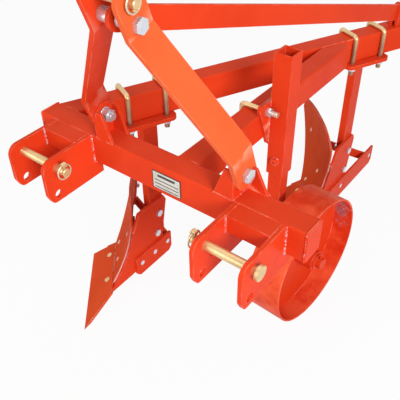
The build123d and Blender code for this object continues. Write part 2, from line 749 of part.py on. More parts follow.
class BodyFrame:
    """Place of one plough body: the land face of its frog plate and its leg's middle."""

    def __init__(self, index):
        self.index = index
        self.x = HITCH_X + BODY_X[index]
        self.y = FRONT_Y + BODY_Y[index]
        self.base = Vector(self.x, self.y, 0)

    def side(self, out=0.0):
        """Upright plane parallel to the land face, `out` towards the land."""
        return side_plane(self.x + out, self.y, 0)

    def section(self, along):
        """Upright plane square to the cutting edge, `along` it."""
        return Plane(origin=self.base + edge_dir * along, x_dir=back_dir, z_dir=-edge_dir)

    def elevation(self):
        """Upright plane along the cutting edge."""
        return Plane(origin=self.base, x_dir=edge_dir, z_dir=back_dir)

    def point(self, along, back, up):
        """World point from distances along the edge, back from it and up."""
        return self.base + edge_dir * along + back_dir * back + Vector(0, 0, up)

    def board_plane(self, along, up, depth=0.0):
        """Plane on the mouldboard, z pointing through it to the back."""
        turn = math.asin((up - BOARD_MID_UP) / BOARD_R)
        reach = BOARD_R + depth
        back = board_centre_x + reach * math.cos(turn)
        inward = back_dir * math.cos(turn) + Vector(0, 0, math.sin(turn))
        origin = self.point(along, back, BOARD_MID_UP + reach * math.sin(turn))
        return Plane(origin=origin, x_dir=edge_dir, z_dir=inward)

    def share_plane(self, along, up_slope):
        """Plane on the share's upper face, z pointing down through it."""
        back = SHARE_FRONT + up_slope * math.cos(share_tilt)
        up = SHARE_LIP + up_slope * math.sin(share_tilt)
        inward = back_dir * math.sin(share_tilt) - Vector(0, 0, math.cos(share_tilt))
        return Plane(origin=self.point(along, back, up), x_dir=edge_dir, z_dir=inward)


def in_front_of_back(frame):
    """Everything ahead of the share's underside and the mouldboard's back."""
    with BuildPart() as room:
        with BuildSketch(frame.section(-BOARD_R)):
            with Locations((board_centre_x, BOARD_MID_UP)):
                Circle(BOARD_R + BOARD_T + BEARER_GAP)
            with Locations((board_centre_x, share_under_z + BOARD_R)):
                Rectangle(3 * BOARD_R, 2 * BOARD_R, mode=Mode.INTERSECT)
            with BuildLine():
                Polyline(
                    (share_heel_x, 0),
                    (share_under_x, share_under_z),
                    (share_under_x, BOARD_MID_UP),
                    (SHARE_FRONT - BOARD_R, BOARD_MID_UP),
                    (SHARE_FRONT - BOARD_R, 0),
                    close=True,
                )
            make_face()
        extrude(amount=-sweep_len)
    return room.part


def mouldboard(frame):
    """Curved plate that turns the furrow slice, cut to its wing's outline."""
    seam = SEAM_UP + SEAM_GAP
    wing_end = WING_U + WING_SLANT
    with BuildPart() as board:
        with BuildSketch(frame.section(-BOARD_R)):
            with Locations((board_centre_x, BOARD_MID_UP)):
                Circle(BOARD_R + BOARD_T)
                Circle(BOARD_R, mode=Mode.SUBTRACT)
            with Locations((board_centre_x + BOARD_R, seam + BOARD_R / 2)):
                Rectangle(BOARD_R, BOARD_R, mode=Mode.INTERSECT)
        extrude(amount=-sweep_len)
        with BuildSketch(frame.elevation()):
            with BuildLine():
                Line((-BOARD_R, seam), (SEAM_END_U, seam))
                ThreePointArc((SEAM_END_U, seam), (WING_MID_U, WING_MID_LOW), (WING_U, WING_LOW))
                Line((WING_U, WING_LOW), (wing_end, WING_HIGH))
                ThreePointArc((wing_end, WING_HIGH), (WING_MID_U, WING_MID_HIGH), (CREST_U, CREST_UP))
                ThreePointArc((CREST_U, CREST_UP), (SHIN_MID_U, SHIN_MID_UP), (SHIN_TOP_U, SHIN_TOP_UP))
                Polyline((SHIN_TOP_U, SHIN_TOP_UP), (-BOARD_R, SHIN_TOP_UP), (-BOARD_R, seam))
            make_face()
        extrude(amount=2 * BOARD_R, both=True, mode=Mode.INTERSECT)
        split(bisect_by=Plane(origin=(frame.x + SHIN_BACK, 0, 0), z_dir=(-1, 0, 0)), keep=Keep.TOP)
        for along, up in BOARD_BOLTS + (STAY_BOLT,):
            add(flush_hole(frame.board_plane(along, up), BOARD_T + BEARER_T), mode=Mode.SUBTRACT)
    return board.part


def share(frame):
    """Wedge-edged share, flat on the ground along its cutting edge."""
    outline = (
        frame.point(tip_u, SHARE_FRONT, 0),
        frame.point(SHARE_WING_U, SHARE_FRONT, 0),
        frame.point(SEAM_END_U, share_under_x, 0),
        frame.point(land_u, share_under_x, 0),
    )
    with BuildPart() as blade:
        with BuildSketch(frame.section(tip_u)):
            with BuildLine():
                Polyline(
                    (SHARE_FRONT, 0),
                    (SHARE_FRONT, SHARE_LIP),
                    (share_top_x, share_top_z),
                    (share_under_x, share_under_z),
                    (share_heel_x, 0),
                    close=True,
                )
            make_face()
        extrude(amount=-sweep_len)
        with BuildSketch(Plane.XY):
            with BuildLine():
                Polyline(*[(p.X, p.Y) for p in outline], close=True)
            make_face()
        extrude(amount=SEAM_UP, mode=Mode.INTERSECT)
        for along in SHARE_BOLTS:
            add(flush_hole(frame.share_plane(along, SHARE_BOLT_UP), SHARE_T + BEARER_T), mode=Mode.SUBTRACT)
    return blade.part


def bearers(frame):
    """The curved and the flat plate welded to the frog plate to carry the mouldboard and the share."""
    inner = BOARD_R + BOARD_T + BEARER_GAP
    flat_start = SHARE_FRONT + SHARE_BEARER_START * math.cos(share_tilt)
    rise = math.tan(share_tilt)
    flat_z = share_under_z - (share_under_x - flat_start) * rise
    drop = BEARER_T / math.cos(share_tilt)
    flat_end = share_under_x + BEARER_T / 2
    flat_end_z = share_under_z + rise * BEARER_T / 2
    with BuildPart() as plates:
        with BuildSketch(frame.section(-BOARD_R)):
            with Locations((board_centre_x, BOARD_MID_UP)):
                Circle(inner + BEARER_T)
                Circle(inner, mode=Mode.SUBTRACT)
            with Locations((board_centre_x + BOARD_R, (share_under_z + BEARER_TOP) / 2)):
                Rectangle(BOARD_R, BEARER_TOP - share_under_z, mode=Mode.INTERSECT)
            with BuildLine():
                Polyline(
                    (flat_start, flat_z),
                    (share_under_x, share_under_z),
                    (flat_end, flat_end_z),
                    (flat_end, flat_end_z - drop),
                    (flat_start, flat_z - drop),
                    close=True,
                )
            make_face()
        extrude(amount=-(BOARD_R + BEARER_WING))
        split(bisect_by=Plane(origin=(frame.x - FROG_T / 2, 0, 0), z_dir=(-1, 0, 0)), keep=Keep.TOP)
    return plates.part


def frog(frame):
    """Side plate and bearers, welded together, that join leg, share, mouldboard and landside."""
    front = share_heel_x / back_dir.Y
    with BuildPart() as body:
        with BuildSketch(frame.side()):
            with BuildLine():
                Polyline(
                    (front, FROG_BOTTOM),
                    (FROG_REAR, FROG_BOTTOM),
                    (FROG_REAR, LEG_END_UP),
                    (FROG_REAR + FROG_SLOPE, FROG_TOP - FROG_CORNER),
                    (FROG_REAR + FROG_SLOPE - FROG_CORNER / 2, FROG_TOP),
                    (FROG_FRONT_TOP, FROG_TOP),
                    (FROG_FRONT_LOW, FROG_SHOULDER),
                    (front, FROG_SHOULDER),
                    close=True,
                )
            make_face()
        extrude(amount=-FROG_T)
        add(bearers(frame))
        add(in_front_of_back(frame), mode=Mode.SUBTRACT)
        with BuildSketch(frame.side()):
            with Locations(*LEG_BOLTS):
                Circle(LEG_BOLT_R + BOLT_FIT)
            with Locations(*[(y, SIDE_BOLT_UP) for y in SIDE_BOLTS[frame.index][:2]]):
                Circle(PLOUGH_BOLT_R + BOLT_FIT)
        extrude(amount=-FROG_T, mode=Mode.SUBTRACT)
        for along, up in BOARD_BOLTS:
            add(flush_hole(frame.board_plane(along, up), 3 * BEARER_T), mode=Mode.SUBTRACT)
        for along in SHARE_BOLTS:
            add(flush_hole(frame.share_plane(along, SHARE_BOLT_UP), 3 * BEARER_T), mode=Mode.SUBTRACT)
    return body.part


def landside(frame):
    """Flat bar that slides along the furrow wall."""
    rear = LANDSIDE_REAR[frame.index]
    with BuildPart() as bar:
        with BuildSketch(frame.side()):
            with BuildLine():
                Polyline(
                    (LANDSIDE_FRONT, LANDSIDE_BOTTOM + LANDSIDE_CHAMFER),
                    (LANDSIDE_FRONT + LANDSIDE_CHAMFER, LANDSIDE_BOTTOM),
                    (rear - LANDSIDE_CHAMFER, LANDSIDE_BOTTOM),
                    (rear, LANDSIDE_BOTTOM + LANDSIDE_CHAMFER),
                    (rear, LANDSIDE_BOTTOM + LANDSIDE_H),
                    (LANDSIDE_FRONT, LANDSIDE_BOTTOM + LANDSIDE_H),
                    close=True,
                )
            make_face()
        extrude(amount=LANDSIDE_T)
        for y in SIDE_BOLTS[frame.index]:
            add(flush_hole(side_bolt_plane(frame, y), LANDSIDE_T), mode=Mode.SUBTRACT)
    return bar.part


def side_bolt_plane(frame, y):
    """Plane on the landside's outer face, z pointing through it."""
    return Plane(origin=frame.base + Vector(LANDSIDE_T, y, SIDE_BOLT_UP), x_dir=(0, 0, 1), z_dir=(-1, 0, 0))


def leg(frame):
    """Upright flat bar from the clamp plate down to the frog."""
    with BuildPart() as bar:
        with BuildSketch(frame.side(-FROG_T)):
            with Locations((0, (BEAM_BOTTOM - CLAMP_T + LEG_END_UP) / 2)):
                Rectangle(LEG_W, BEAM_BOTTOM - CLAMP_T - LEG_END_UP)
            with Locations(*LEG_BOLTS):
                Circle(LEG_BOLT_R + BOLT_FIT, mode=Mode.SUBTRACT)
        extrude(amount=-LEG_T)
    return bar.part


def board_stay(frame):
    """Bent flat bar from the landside's rear end to the mouldboard's back."""
    bolt_y = SIDE_BOLTS[frame.index][-1]
    tab_y = bolt_y + STAY_STEP[frame.index]
    tab_front = min(bolt_y - STAY_TAB, tab_y - STAY_BAR_T / 2)
    tab_rear = max(bolt_y + STAY_TAB, tab_y + STAY_BAR_T / 2)
    heel = frame.base + Vector(-STAY_BAR_T / 2, tab_y, SIDE_BOLT_UP)
    wing = frame.board_plane(STAY_BEND_U, STAY_BOLT[1], BOARD_T + BEARER_GAP + STAY_BAR_T / 2)
    run = wing.origin - heel
    flat = Vector(run.Y, -run.X, 0).normalized()
    with BuildPart() as bar:
        with BuildSketch(frame.side()):
            with Locations(((tab_front + tab_rear) / 2, SIDE_BOLT_UP)):
                Rectangle(tab_rear - tab_front, STAY_BAR_W)
        extrude(amount=-STAY_BAR_T)
        with BuildSketch(Plane(origin=heel, x_dir=flat, z_dir=run)):
            Rectangle(STAY_BAR_T, STAY_BAR_W)
        extrude(amount=run.length)
        back_face = frame.board_plane((STAY_BEND_U + STAY_BOLT[0]) / 2, STAY_BOLT[1], BOARD_T + BEARER_GAP)
        with BuildSketch(back_face):
            Rectangle(STAY_BOLT[0] - STAY_BEND_U + STAY_BAR_W, STAY_BAR_W)
        extrude(amount=STAY_BAR_T)
        add(in_front_of_back(frame), mode=Mode.SUBTRACT)
        split(bisect_by=Plane(origin=frame.base, z_dir=(-1, 0, 0)), keep=Keep.TOP)
        add(flush_hole(frame.board_plane(*STAY_BOLT), 3 * BEARER_T), mode=Mode.SUBTRACT)
        add(flush_hole(side_bolt_plane(frame, bolt_y), 3 * BEARER_T), mode=Mode.SUBTRACT)
    return bar.part


leg_bolts = []
flush_bolts = []
side_bolts = []
small_nuts = []
for index, name in enumerate(body_names):
    frame = BodyFrame(index)
    keep(leg(frame), f"{name}_leg")
    keep(frog(frame), f"{name}_frog")
    keep(landside(frame), f"{name}_landside")
    keep(share(frame), f"{name}_share")
    keep(mouldboard(frame), f"{name}_mouldboard")
    keep(board_stay(frame), f"{name}_board_stay")
    for y, up in LEG_BOLTS:
        seat = Plane(origin=frame.base + Vector(0, y, up), x_dir=(0, 0, 1), z_dir=(-1, 0, 0))
        grip = FROG_T + LEG_T
        leg_bolts.append(hex_bolt(seat, LEG_BOLT_R, grip + NUT_T + BOLT_TAIL, NUT_AF, BOLT_HEAD_T))
        large_nuts.append(hex_nut(seat.offset(grip), LEG_BOLT_R, NUT_AF, NUT_T))
    for y in SIDE_BOLTS[index]:
        seat = side_bolt_plane(frame, y)
        grip = LANDSIDE_T + (STAY_BAR_T if y == SIDE_BOLTS[index][-1] else FROG_T)
        side_bolts.append(flush_bolt(seat, grip + SMALL_NUT_T + SMALL_TAIL))
        small_nuts.append(hex_nut(seat.offset(grip), PLOUGH_BOLT_R, SMALL_NUT_AF, SMALL_NUT_T))
    board_grip = BOARD_T + BEARER_GAP + BEARER_T
    for along, up in BOARD_BOLTS:
        seat = frame.board_plane(along, up)
        flush_bolts.append(flush_bolt(seat, board_grip + SMALL_NUT_T + SMALL_TAIL))
        small_nuts.append(hex_nut(seat.offset(board_grip), PLOUGH_BOLT_R, SMALL_NUT_AF, SMALL_NUT_T))
    seat = frame.board_plane(*STAY_BOLT)
    stay_grip = BOARD_T + BEARER_GAP + STAY_BAR_T
    flush_bolts.append(flush_bolt(seat, stay_grip + SMALL_NUT_T + SMALL_TAIL))
    small_nuts.append(hex_nut(seat.offset(stay_grip), PLOUGH_BOLT_R, SMALL_NUT_AF, SMALL_NUT_T))
    for along in SHARE_BOLTS:
        seat = frame.share_plane(along, SHARE_BOLT_UP)
        share_grip = SHARE_T + BEARER_T
        flush_bolts.append(flush_bolt(seat, share_grip + SMALL_NUT_T + SMALL_TAIL))
        small_nuts.append(hex_nut(seat.offset(share_grip), PLOUGH_BOLT_R, SMALL_NUT_AF, SMALL_NUT_T))

# Depth wheel bracket: a square sleeve on an eared plate, held to the brace by two hook bolts
near_x = HITCH_X + BRACE_X + TUBE_W / 2
far_x = near_x - TUBE_W
sleeve_x = near_x + EAR_T + SLEEVE_OUT / 2
sleeve_y = FRONT_Y + SLEEVE_Y
sleeve_top = BEAM_TOP + SLEEVE_ABOVE
sleeve_low = BEAM_BOTTOM - SLEEVE_BELOW
screw_z = BEAM_TOP - SCREW_DROP
sleeve_half = SLEEVE_OUT / 2
ear_mid = side_plane(near_x, sleeve_y, CROSS_MID_Z)
rod_y = sleeve_half + HOOK_REACH
rod_z = TUBE_H / 2 + U_ROD_R + U_GAP
with BuildPart() as wheel_sleeve:
    with BuildSketch(Plane(origin=(sleeve_x, sleeve_y, sleeve_low), z_dir=(0, 0, 1))):
        Rectangle(SLEEVE_OUT, SLEEVE_OUT)
        Rectangle(SLEEVE_OUT - 2 * SLEEVE_WALL, SLEEVE_OUT - 2 * SLEEVE_WALL, mode=Mode.SUBTRACT)
    extrude(amount=sleeve_top - sleeve_low)
    with BuildSketch(ear_mid):
        with BuildLine():
            Polyline(*((-turn * out, turn * up) for turn in (1, -1) for out, up in EAR_OUTLINE), close=True)
        make_face()
        with Locations((-rod_y, rod_z), (rod_y, -rod_z)):
            Circle(U_ROD_R + BOLT_FIT, mode=Mode.SUBTRACT)
    extrude(amount=EAR_T)
    with BuildSketch(front_plane(sleeve_x, sleeve_y, screw_z)):
        Circle(SCREW_R + BOLT_FIT)
    extrude(amount=SLEEVE_OUT, mode=Mode.SUBTRACT)
keep(wheel_sleeve.part, "wheel_sleeve")

with BuildPart() as hook_bolts:
    for turn in (1, -1):
        rod = Plane(origin=(near_x, sleeve_y - turn * rod_y, CROSS_MID_Z), x_dir=(1, 0, 0), z_dir=(0, -1, 0))
        tail_x = EAR_T + NUT_T + HOOK_TAIL
        bend_x = -TUBE_W - U_ROD_R - U_GAP
        hook_z = turn * (rod_z - HOOK_DROP)
        with BuildLine(rod):
            FilletPolyline((tail_x, turn * rod_z), (bend_x, turn * rod_z), (bend_x, hook_z), radius=U_BEND_R)
        with BuildSketch(Plane(origin=rod.from_local_coords((tail_x, turn * rod_z, 0)), z_dir=(-1, 0, 0))):
            Circle(U_ROD_R)
        sweep()
        seat = Plane(origin=rod.from_local_coords((EAR_T, turn * rod_z, 0)), x_dir=(0, 0, 1), z_dir=(1, 0, 0))
        large_nuts.append(hex_nut(seat, U_ROD_R, NUT_AF, NUT_T))
keep(hook_bolts.part, "hook_bolts")

# Clamping screw that holds the post, in a nut welded on the sleeve's front
boss_plane = front_plane(sleeve_x, sleeve_y - sleeve_half, screw_z)
screw_in = (SLEEVE_OUT - POST_OUT) / 2 - SCREW_TIP_GAP
with BuildPart() as clamp_screw_nut:
    with BuildSketch(boss_plane):
        RegularPolygon(BOSS_AF / 2, 6, major_radius=False)
        Circle(SCREW_R + PIN_FIT, mode=Mode.SUBTRACT)
    extrude(amount=BOSS_T)
keep(clamp_screw_nut.part, "clamp_screw_nut")
with BuildPart() as clamp_screw:
    with BuildSketch(boss_plane.offset(-screw_in)):
        Circle(SCREW_R)
    extrude(amount=screw_in + BOSS_T + SCREW_PROUD)
    with BuildSketch(boss_plane.offset(BOSS_T + SCREW_PROUD)):
        RegularPolygon(SCREW_SOCKET_AF / 2, 6, major_radius=False)
    extrude(amount=-SCREW_R, mode=Mode.SUBTRACT)
keep(clamp_screw.part, "clamp_screw")

# Wheel post and stub axle; the axle toes the wheel slightly outwards at the back
toe = math.radians(WHEEL_TOE)
axle_dir = Vector(math.cos(toe), -math.sin(toe), 0)
axle_point = Vector(sleeve_x, sleeve_y, WHEEL_R)
hub_end = WHEEL_OUT - HUB_INSET
hub_start = hub_end - HUB_LEN


def axle_plane(out):
    """Plane square to the axle, `out` along it from the post's middle."""
    return Plane(origin=axle_point + axle_dir * out, x_dir=(0, 0, 1), z_dir=axle_dir)


with BuildPart() as wheel_post:
    with BuildSketch(Plane(origin=(sleeve_x, sleeve_y, WHEEL_R - POST_TAIL), z_dir=(0, 0, 1))):
        Rectangle(POST_OUT, POST_OUT)
        Rectangle(POST_OUT - 2 * POST_WALL, POST_OUT - 2 * POST_WALL, mode=Mode.SUBTRACT)
    extrude(amount=sleeve_top - POST_TOP_INSET - WHEEL_R + POST_TAIL)
    with BuildSketch(axle_plane(0)):
        Circle(AXLE_R + THREAD_FIT)
    extrude(amount=POST_OUT, both=True, mode=Mode.SUBTRACT)
keep(wheel_post.part, "wheel_post")

axle_start = -POST_OUT / 2 - AXLE_STUB
washer_start = hub_end + SIDE_PLAY
cotter_out = washer_start + WASHER_T + 2 * COTTER_R
axle_end = cotter_out + AXLE_END
with BuildPart() as wheel_axle:
    with BuildSketch(axle_plane(axle_start)):
        Circle(AXLE_R)
    extrude(amount=axle_end - axle_start)
    with BuildSketch(axle_plane(POST_OUT / 2 + COLLAR_CLEAR)):
        Circle(COLLAR_R)
    extrude(amount=hub_start - SIDE_PLAY - POST_OUT / 2 - COLLAR_CLEAR)
    with BuildSketch(Plane(origin=axle_plane(cotter_out).origin, z_dir=(0, 0, 1))):
        Circle(COTTER_R + BOLT_FIT)
    extrude(amount=AXLE_R, both=True, mode=Mode.SUBTRACT)
keep(wheel_axle.part, "wheel_axle")

with BuildPart() as wheel_rim:
    with BuildSketch(axle_plane(WHEEL_OUT - WHEEL_W)):
        Circle(WHEEL_R)
        Circle(WHEEL_R - RIM_T, mode=Mode.SUBTRACT)
    extrude(amount=WHEEL_W)
keep(wheel_rim.part, "wheel_rim")

with BuildPart() as wheel_disc:
    with BuildSketch(axle_plane(WHEEL_OUT - DISC_INSET - DISC_T)):
        Circle(WHEEL_R - RIM_T - WELD_GAP)
        Circle(HUB_R + WELD_GAP, mode=Mode.SUBTRACT)
    extrude(amount=DISC_T)
keep(wheel_disc.part, "wheel_disc")

with BuildPart() as wheel_hub:
    with BuildSketch(axle_plane(hub_start)):
        Circle(HUB_R)
        Circle(AXLE_R + AXLE_FIT + BUSH_T + WELD_GAP, mode=Mode.SUBTRACT)
    extrude(amount=HUB_LEN)
keep(wheel_hub.part, "wheel_hub")

with BuildPart() as wheel_bushes:
    for start in (hub_start, hub_end - BUSH_LEN):
        with BuildSketch(axle_plane(start)):
            Circle(AXLE_R + AXLE_FIT + BUSH_T)
            Circle(AXLE_R + AXLE_FIT, mode=Mode.SUBTRACT)
        extrude(amount=BUSH_LEN)
keep(wheel_bushes.part, "wheel_bushes")

with BuildPart() as axle_washer:
    with BuildSketch(axle_plane(washer_start)):
        Circle(COLLAR_R)
        Circle(AXLE_R + BOLT_FIT, mode=Mode.SUBTRACT)
    extrude(amount=WASHER_T)
keep(axle_washer.part, "axle_washer")

with BuildPart() as axle_cotter:
    with BuildSketch(Plane(origin=axle_plane(cotter_out).origin, z_dir=(0, 0, 1))):
        Circle(COTTER_R)
    extrude(amount=COLLAR_R, both=True)
keep(axle_cotter.part, "axle_cotter")

# Fasteners that are alike, each kind as one group
for name, pieces in (
    ("leg_bolts", leg_bolts),
    ("share_and_board_bolts", flush_bolts),
    ("landside_bolts", side_bolts),
    ("large_nuts", large_nuts),
    ("small_nuts", small_nuts),
):
    with BuildPart() as group:
        for piece in pieces:
            add(piece)
    keep(group.part, name)
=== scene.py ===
"""Looks of a mounted two-furrow plough.

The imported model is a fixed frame. Each sub-assembly takes its own nodes, gives them broken edges and a
finish, and adds what sits on them: weld beads, thread ridges and rivets.
"""

import logging
import math
from dataclasses import dataclass
from enum import Enum
from functools import cache
from typing import ClassVar

import bmesh
import bpy
from mathutils import Euler, Matrix, Vector


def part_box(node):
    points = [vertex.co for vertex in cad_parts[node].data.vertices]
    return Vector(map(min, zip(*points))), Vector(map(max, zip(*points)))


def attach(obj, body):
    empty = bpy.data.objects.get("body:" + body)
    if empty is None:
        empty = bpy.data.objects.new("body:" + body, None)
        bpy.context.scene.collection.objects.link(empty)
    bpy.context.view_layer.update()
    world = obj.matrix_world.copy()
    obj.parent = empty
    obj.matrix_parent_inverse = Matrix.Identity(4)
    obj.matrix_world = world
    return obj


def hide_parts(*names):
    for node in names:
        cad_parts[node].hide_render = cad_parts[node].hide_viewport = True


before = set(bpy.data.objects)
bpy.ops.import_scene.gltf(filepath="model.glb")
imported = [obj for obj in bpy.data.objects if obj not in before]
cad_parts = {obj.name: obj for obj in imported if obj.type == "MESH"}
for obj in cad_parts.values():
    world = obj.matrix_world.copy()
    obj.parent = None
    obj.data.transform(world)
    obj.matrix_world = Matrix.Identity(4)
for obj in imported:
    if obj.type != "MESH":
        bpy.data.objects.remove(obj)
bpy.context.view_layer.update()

LOG = logging.getLogger("plough")
MM = 0.001
UP = Vector((0.0, 0.0, 1.0))
WHITE = (1.0, 1.0, 1.0, 1.0)
Path = list[Vector]
Colour = tuple[float, float, float]
Material = bpy.types.Material
Socket = bpy.types.NodeSocket
Source = Socket | float | tuple | Vector | Euler


class Body(Enum):
    """Rigid bodies of the plough."""

    FRAME = "frame"
    POST = "wheel_post"
    WHEEL = "wheel"
    SCREW = "clamp_screw"
    LEFT_PIN = "left_pin"
    RIGHT_PIN = "right_pin"
    TOP_PIN = "top_pin"
    LEFT_RING = "left_ring"
    RIGHT_RING = "right_ring"
    TOP_RING = "top_ring"


class Slot(Enum):
    """Material slots of the record."""

    PAINT = "red_paint"
    SOIL = "soil_plate_paint"
    YELLOW = "yellow_zinc"
    ZINC = "zinc"
    SPRING = "spring_steel"
    PLATE = "plate"
    BRONZE = "bronze"


class Bench:
    """A node tree under construction."""

    def __init__(self, tree: bpy.types.NodeTree) -> None:
        """Start work on a tree."""
        self.tree = tree

    def feed(self, socket: Socket, source: Source) -> None:
        """Give an input socket a value, or link it to the socket that feeds it.

        Args:
            socket: The input socket.
            source: A value or an output socket.
        """
        if isinstance(source, Socket):
            self.tree.links.new(source, socket)
        else:
            socket.default_value = source

    def node(
        self,
        kind: str,
        inputs: dict[str | int, Source] | None = None,
        **settings: str | int | bpy.types.NodeTree,
    ) -> bpy.types.Node:
        """Add a node.

        Args:
            kind: Blender's node type.
            inputs: Its inputs by name or number, each with a value or the socket that feeds it.
            settings: Its properties.

        Returns:
            The new node.
        """
        made = self.tree.nodes.new(kind)
        for label, value in settings.items():
            setattr(made, label, value)
        for label, source in (inputs or {}).items():
            self.feed(made.inputs[label], source)
        return made

    def join(self, kind: str, first: Socket, second: Socket | float = 0.0) -> Socket:
        """Join two values by one step of arithmetic, or change the first alone."""
        return self.node("ShaderNodeMath", {0: first, 1: second}, operation=kind).outputs[0]

    def product(self, first: Socket, *others: Socket) -> Socket:
        """Multiply values.

        Args:
            first: First value's socket.
            others: Sockets of the other values.

        Returns:
            The product's socket.
        """
        for other in others:
            first = self.join("MULTIPLY", first, other)
        return first

    def ramp(self, value: Socket, low: float, high: float) -> Socket:
        """Turn a value into a mask, 0 at the low limit and 1 at the high one."""
        inputs = {"Value": value, "From Min": low, "From Max": high}
        return self.node("ShaderNodeMapRange", inputs).outputs["Result"]

    def span(self, mask: Socket, low: float, high: float) -> Socket:
        """Turn a mask into a value, low where it is 0 and high where it is 1."""
        inputs = {"Value": mask, "To Min": low, "To Max": high}
        return self.node("ShaderNodeMapRange", inputs).outputs["Result"]

    def split(self, vector: Socket) -> bpy.types.NodeOutputs:
        """The three parts of a vector, by name."""
        return self.node("ShaderNodeSeparateXYZ", {"Vector": vector}).outputs

    def coords(self) -> Socket:
        """Object coordinates, in metres."""
        return self.node("ShaderNodeTexCoord").outputs["Object"]


class GroupBench(Bench):
    """A node group under construction, with named inputs and one output."""

    def __init__(
        self, name: str, family: str, inputs: dict[str, float | str], output: str, kind: str
    ) -> None:
        """Make the group's sockets and its two end nodes.

        Args:
            name: Name of the group.
            family: Blender's type of the tree.
            inputs: Names of its inputs, each with a number's default or a socket type.
            output: Name of its output.
            kind: Socket type of its output.
        """
        super().__init__(bpy.data.node_groups.new(name, family))
        sockets = self.tree.interface
        for label, value in inputs.items():
            if isinstance(value, str):
                sockets.new_socket(label, in_out="INPUT", socket_type=value)
            else:
                number = sockets.new_socket(label, in_out="INPUT", socket_type="NodeSocketFloat")
                number.default_value = value
        sockets.new_socket(output, in_out="OUTPUT", socket_type=kind)
        self.start = self.node("NodeGroupInput")
        self.stop = self.node("NodeGroupOutput")

    def given(self, label: str) -> Socket:
        """Socket of one of the group's own inputs."""
        return self.start.outputs[label]

    def put_out(self, source: Socket) -> None:
        """Link what the group puts out."""
        self.feed(self.stop.inputs[0], source)


class Effect(GroupBench):
    """A shader node group that several finishes share."""

    def __init__(
        self, name: str, inputs: dict[str, float], output: str = "Mask", kind: str = "NodeSocketFloat"
    ) -> None:
        """Start the group, with its inputs' default values and one output."""
        super().__init__(name, "ShaderNodeTree", inputs, output, kind)

    def noise(self, detail: float, roughness: float = 0.5) -> Socket:
        """Noise over the object, at the group's own scale."""
        inputs = {"Vector": self.coords(), "Scale": self.given("Scale"), "Detail": detail}
        return self.node("ShaderNodeTexNoise", inputs | {"Roughness": roughness}).outputs["Fac"]


class PaintPeel(Effect):
    """Fine waviness of sprayed paint, as a normal."""

    def __init__(self) -> None:
        """Build the group: noise that feeds a bump."""
        super().__init__("PaintPeel", {"Scale": 300.0, "Depth": 0.0002}, "Normal", "NodeSocketVector")
        inputs = {"Strength": 0.6, "Distance": self.given("Depth"), "Height": self.noise(detail=2.0)}
        self.put_out(self.node("ShaderNodeBump", inputs).outputs["Normal"])


class Cloud(Effect):
    """Broad soft patches from 0 to 1, for slow changes of tone and gloss."""

    def __init__(self) -> None:
        """Build the group: noise spread between two limits."""
        super().__init__("Cloud", {"Scale": 6.0, "Low": 0.35, "High": 0.65})
        noise = self.noise(detail=4.0, roughness=0.6)
        inputs = {"Value": noise, "From Min": self.given("Low"), "From Max": self.given("High")}
        spread = self.node("ShaderNodeMapRange", inputs, interpolation_type="SMOOTHSTEP")
        self.put_out(spread.outputs["Result"])


class Dust(Effect):
    """Thin workshop dust that lies on faces turned upwards."""

    def __init__(self) -> None:
        """Build the group: noise where the surface looks up."""
        super().__init__("Dust", {"Amount": 0.2, "Scale": 18.0})
        normal = self.node("ShaderNodeNewGeometry").outputs["Normal"]
        upward = self.ramp(self.split(normal)["Z"], low=0.55, high=1.0)
        self.put_out(self.product(upward, self.noise(detail=6.0), self.given("Amount")))


class EdgeWearAndHighlight(Effect):
    """Rubbed arrises with a painted highlight along them: high where the surface turns a corner, broken up
    by noise.
    """

    def __init__(self) -> None:
        """Build the group: how far an eased normal leaves the face's own, times noise."""
        super().__init__("EdgeWearAndHighlight", {"Width": 0.002, "Amount": 1.0, "Scale": 60.0})
        eased = self.node("ShaderNodeBevel", {"Radius": self.given("Width")}, samples=4).outputs["Normal"]
        flat = self.node("ShaderNodeNewGeometry").outputs["True Normal"]
        dot = self.node("ShaderNodeVectorMath", {0: eased, 1: flat}, operation="DOT_PRODUCT")
        turn = self.ramp(dot.outputs["Value"], low=0.99, high=0.86)
        broken = self.ramp(self.noise(detail=5.0), low=0.42, high=0.58)
        self.put_out(self.product(turn, broken, self.given("Amount")))


PEEL = PaintPeel()
CLOUD = Cloud()
DUST = Dust()
WEAR_AND_HIGHLIGHT = EdgeWearAndHighlight()


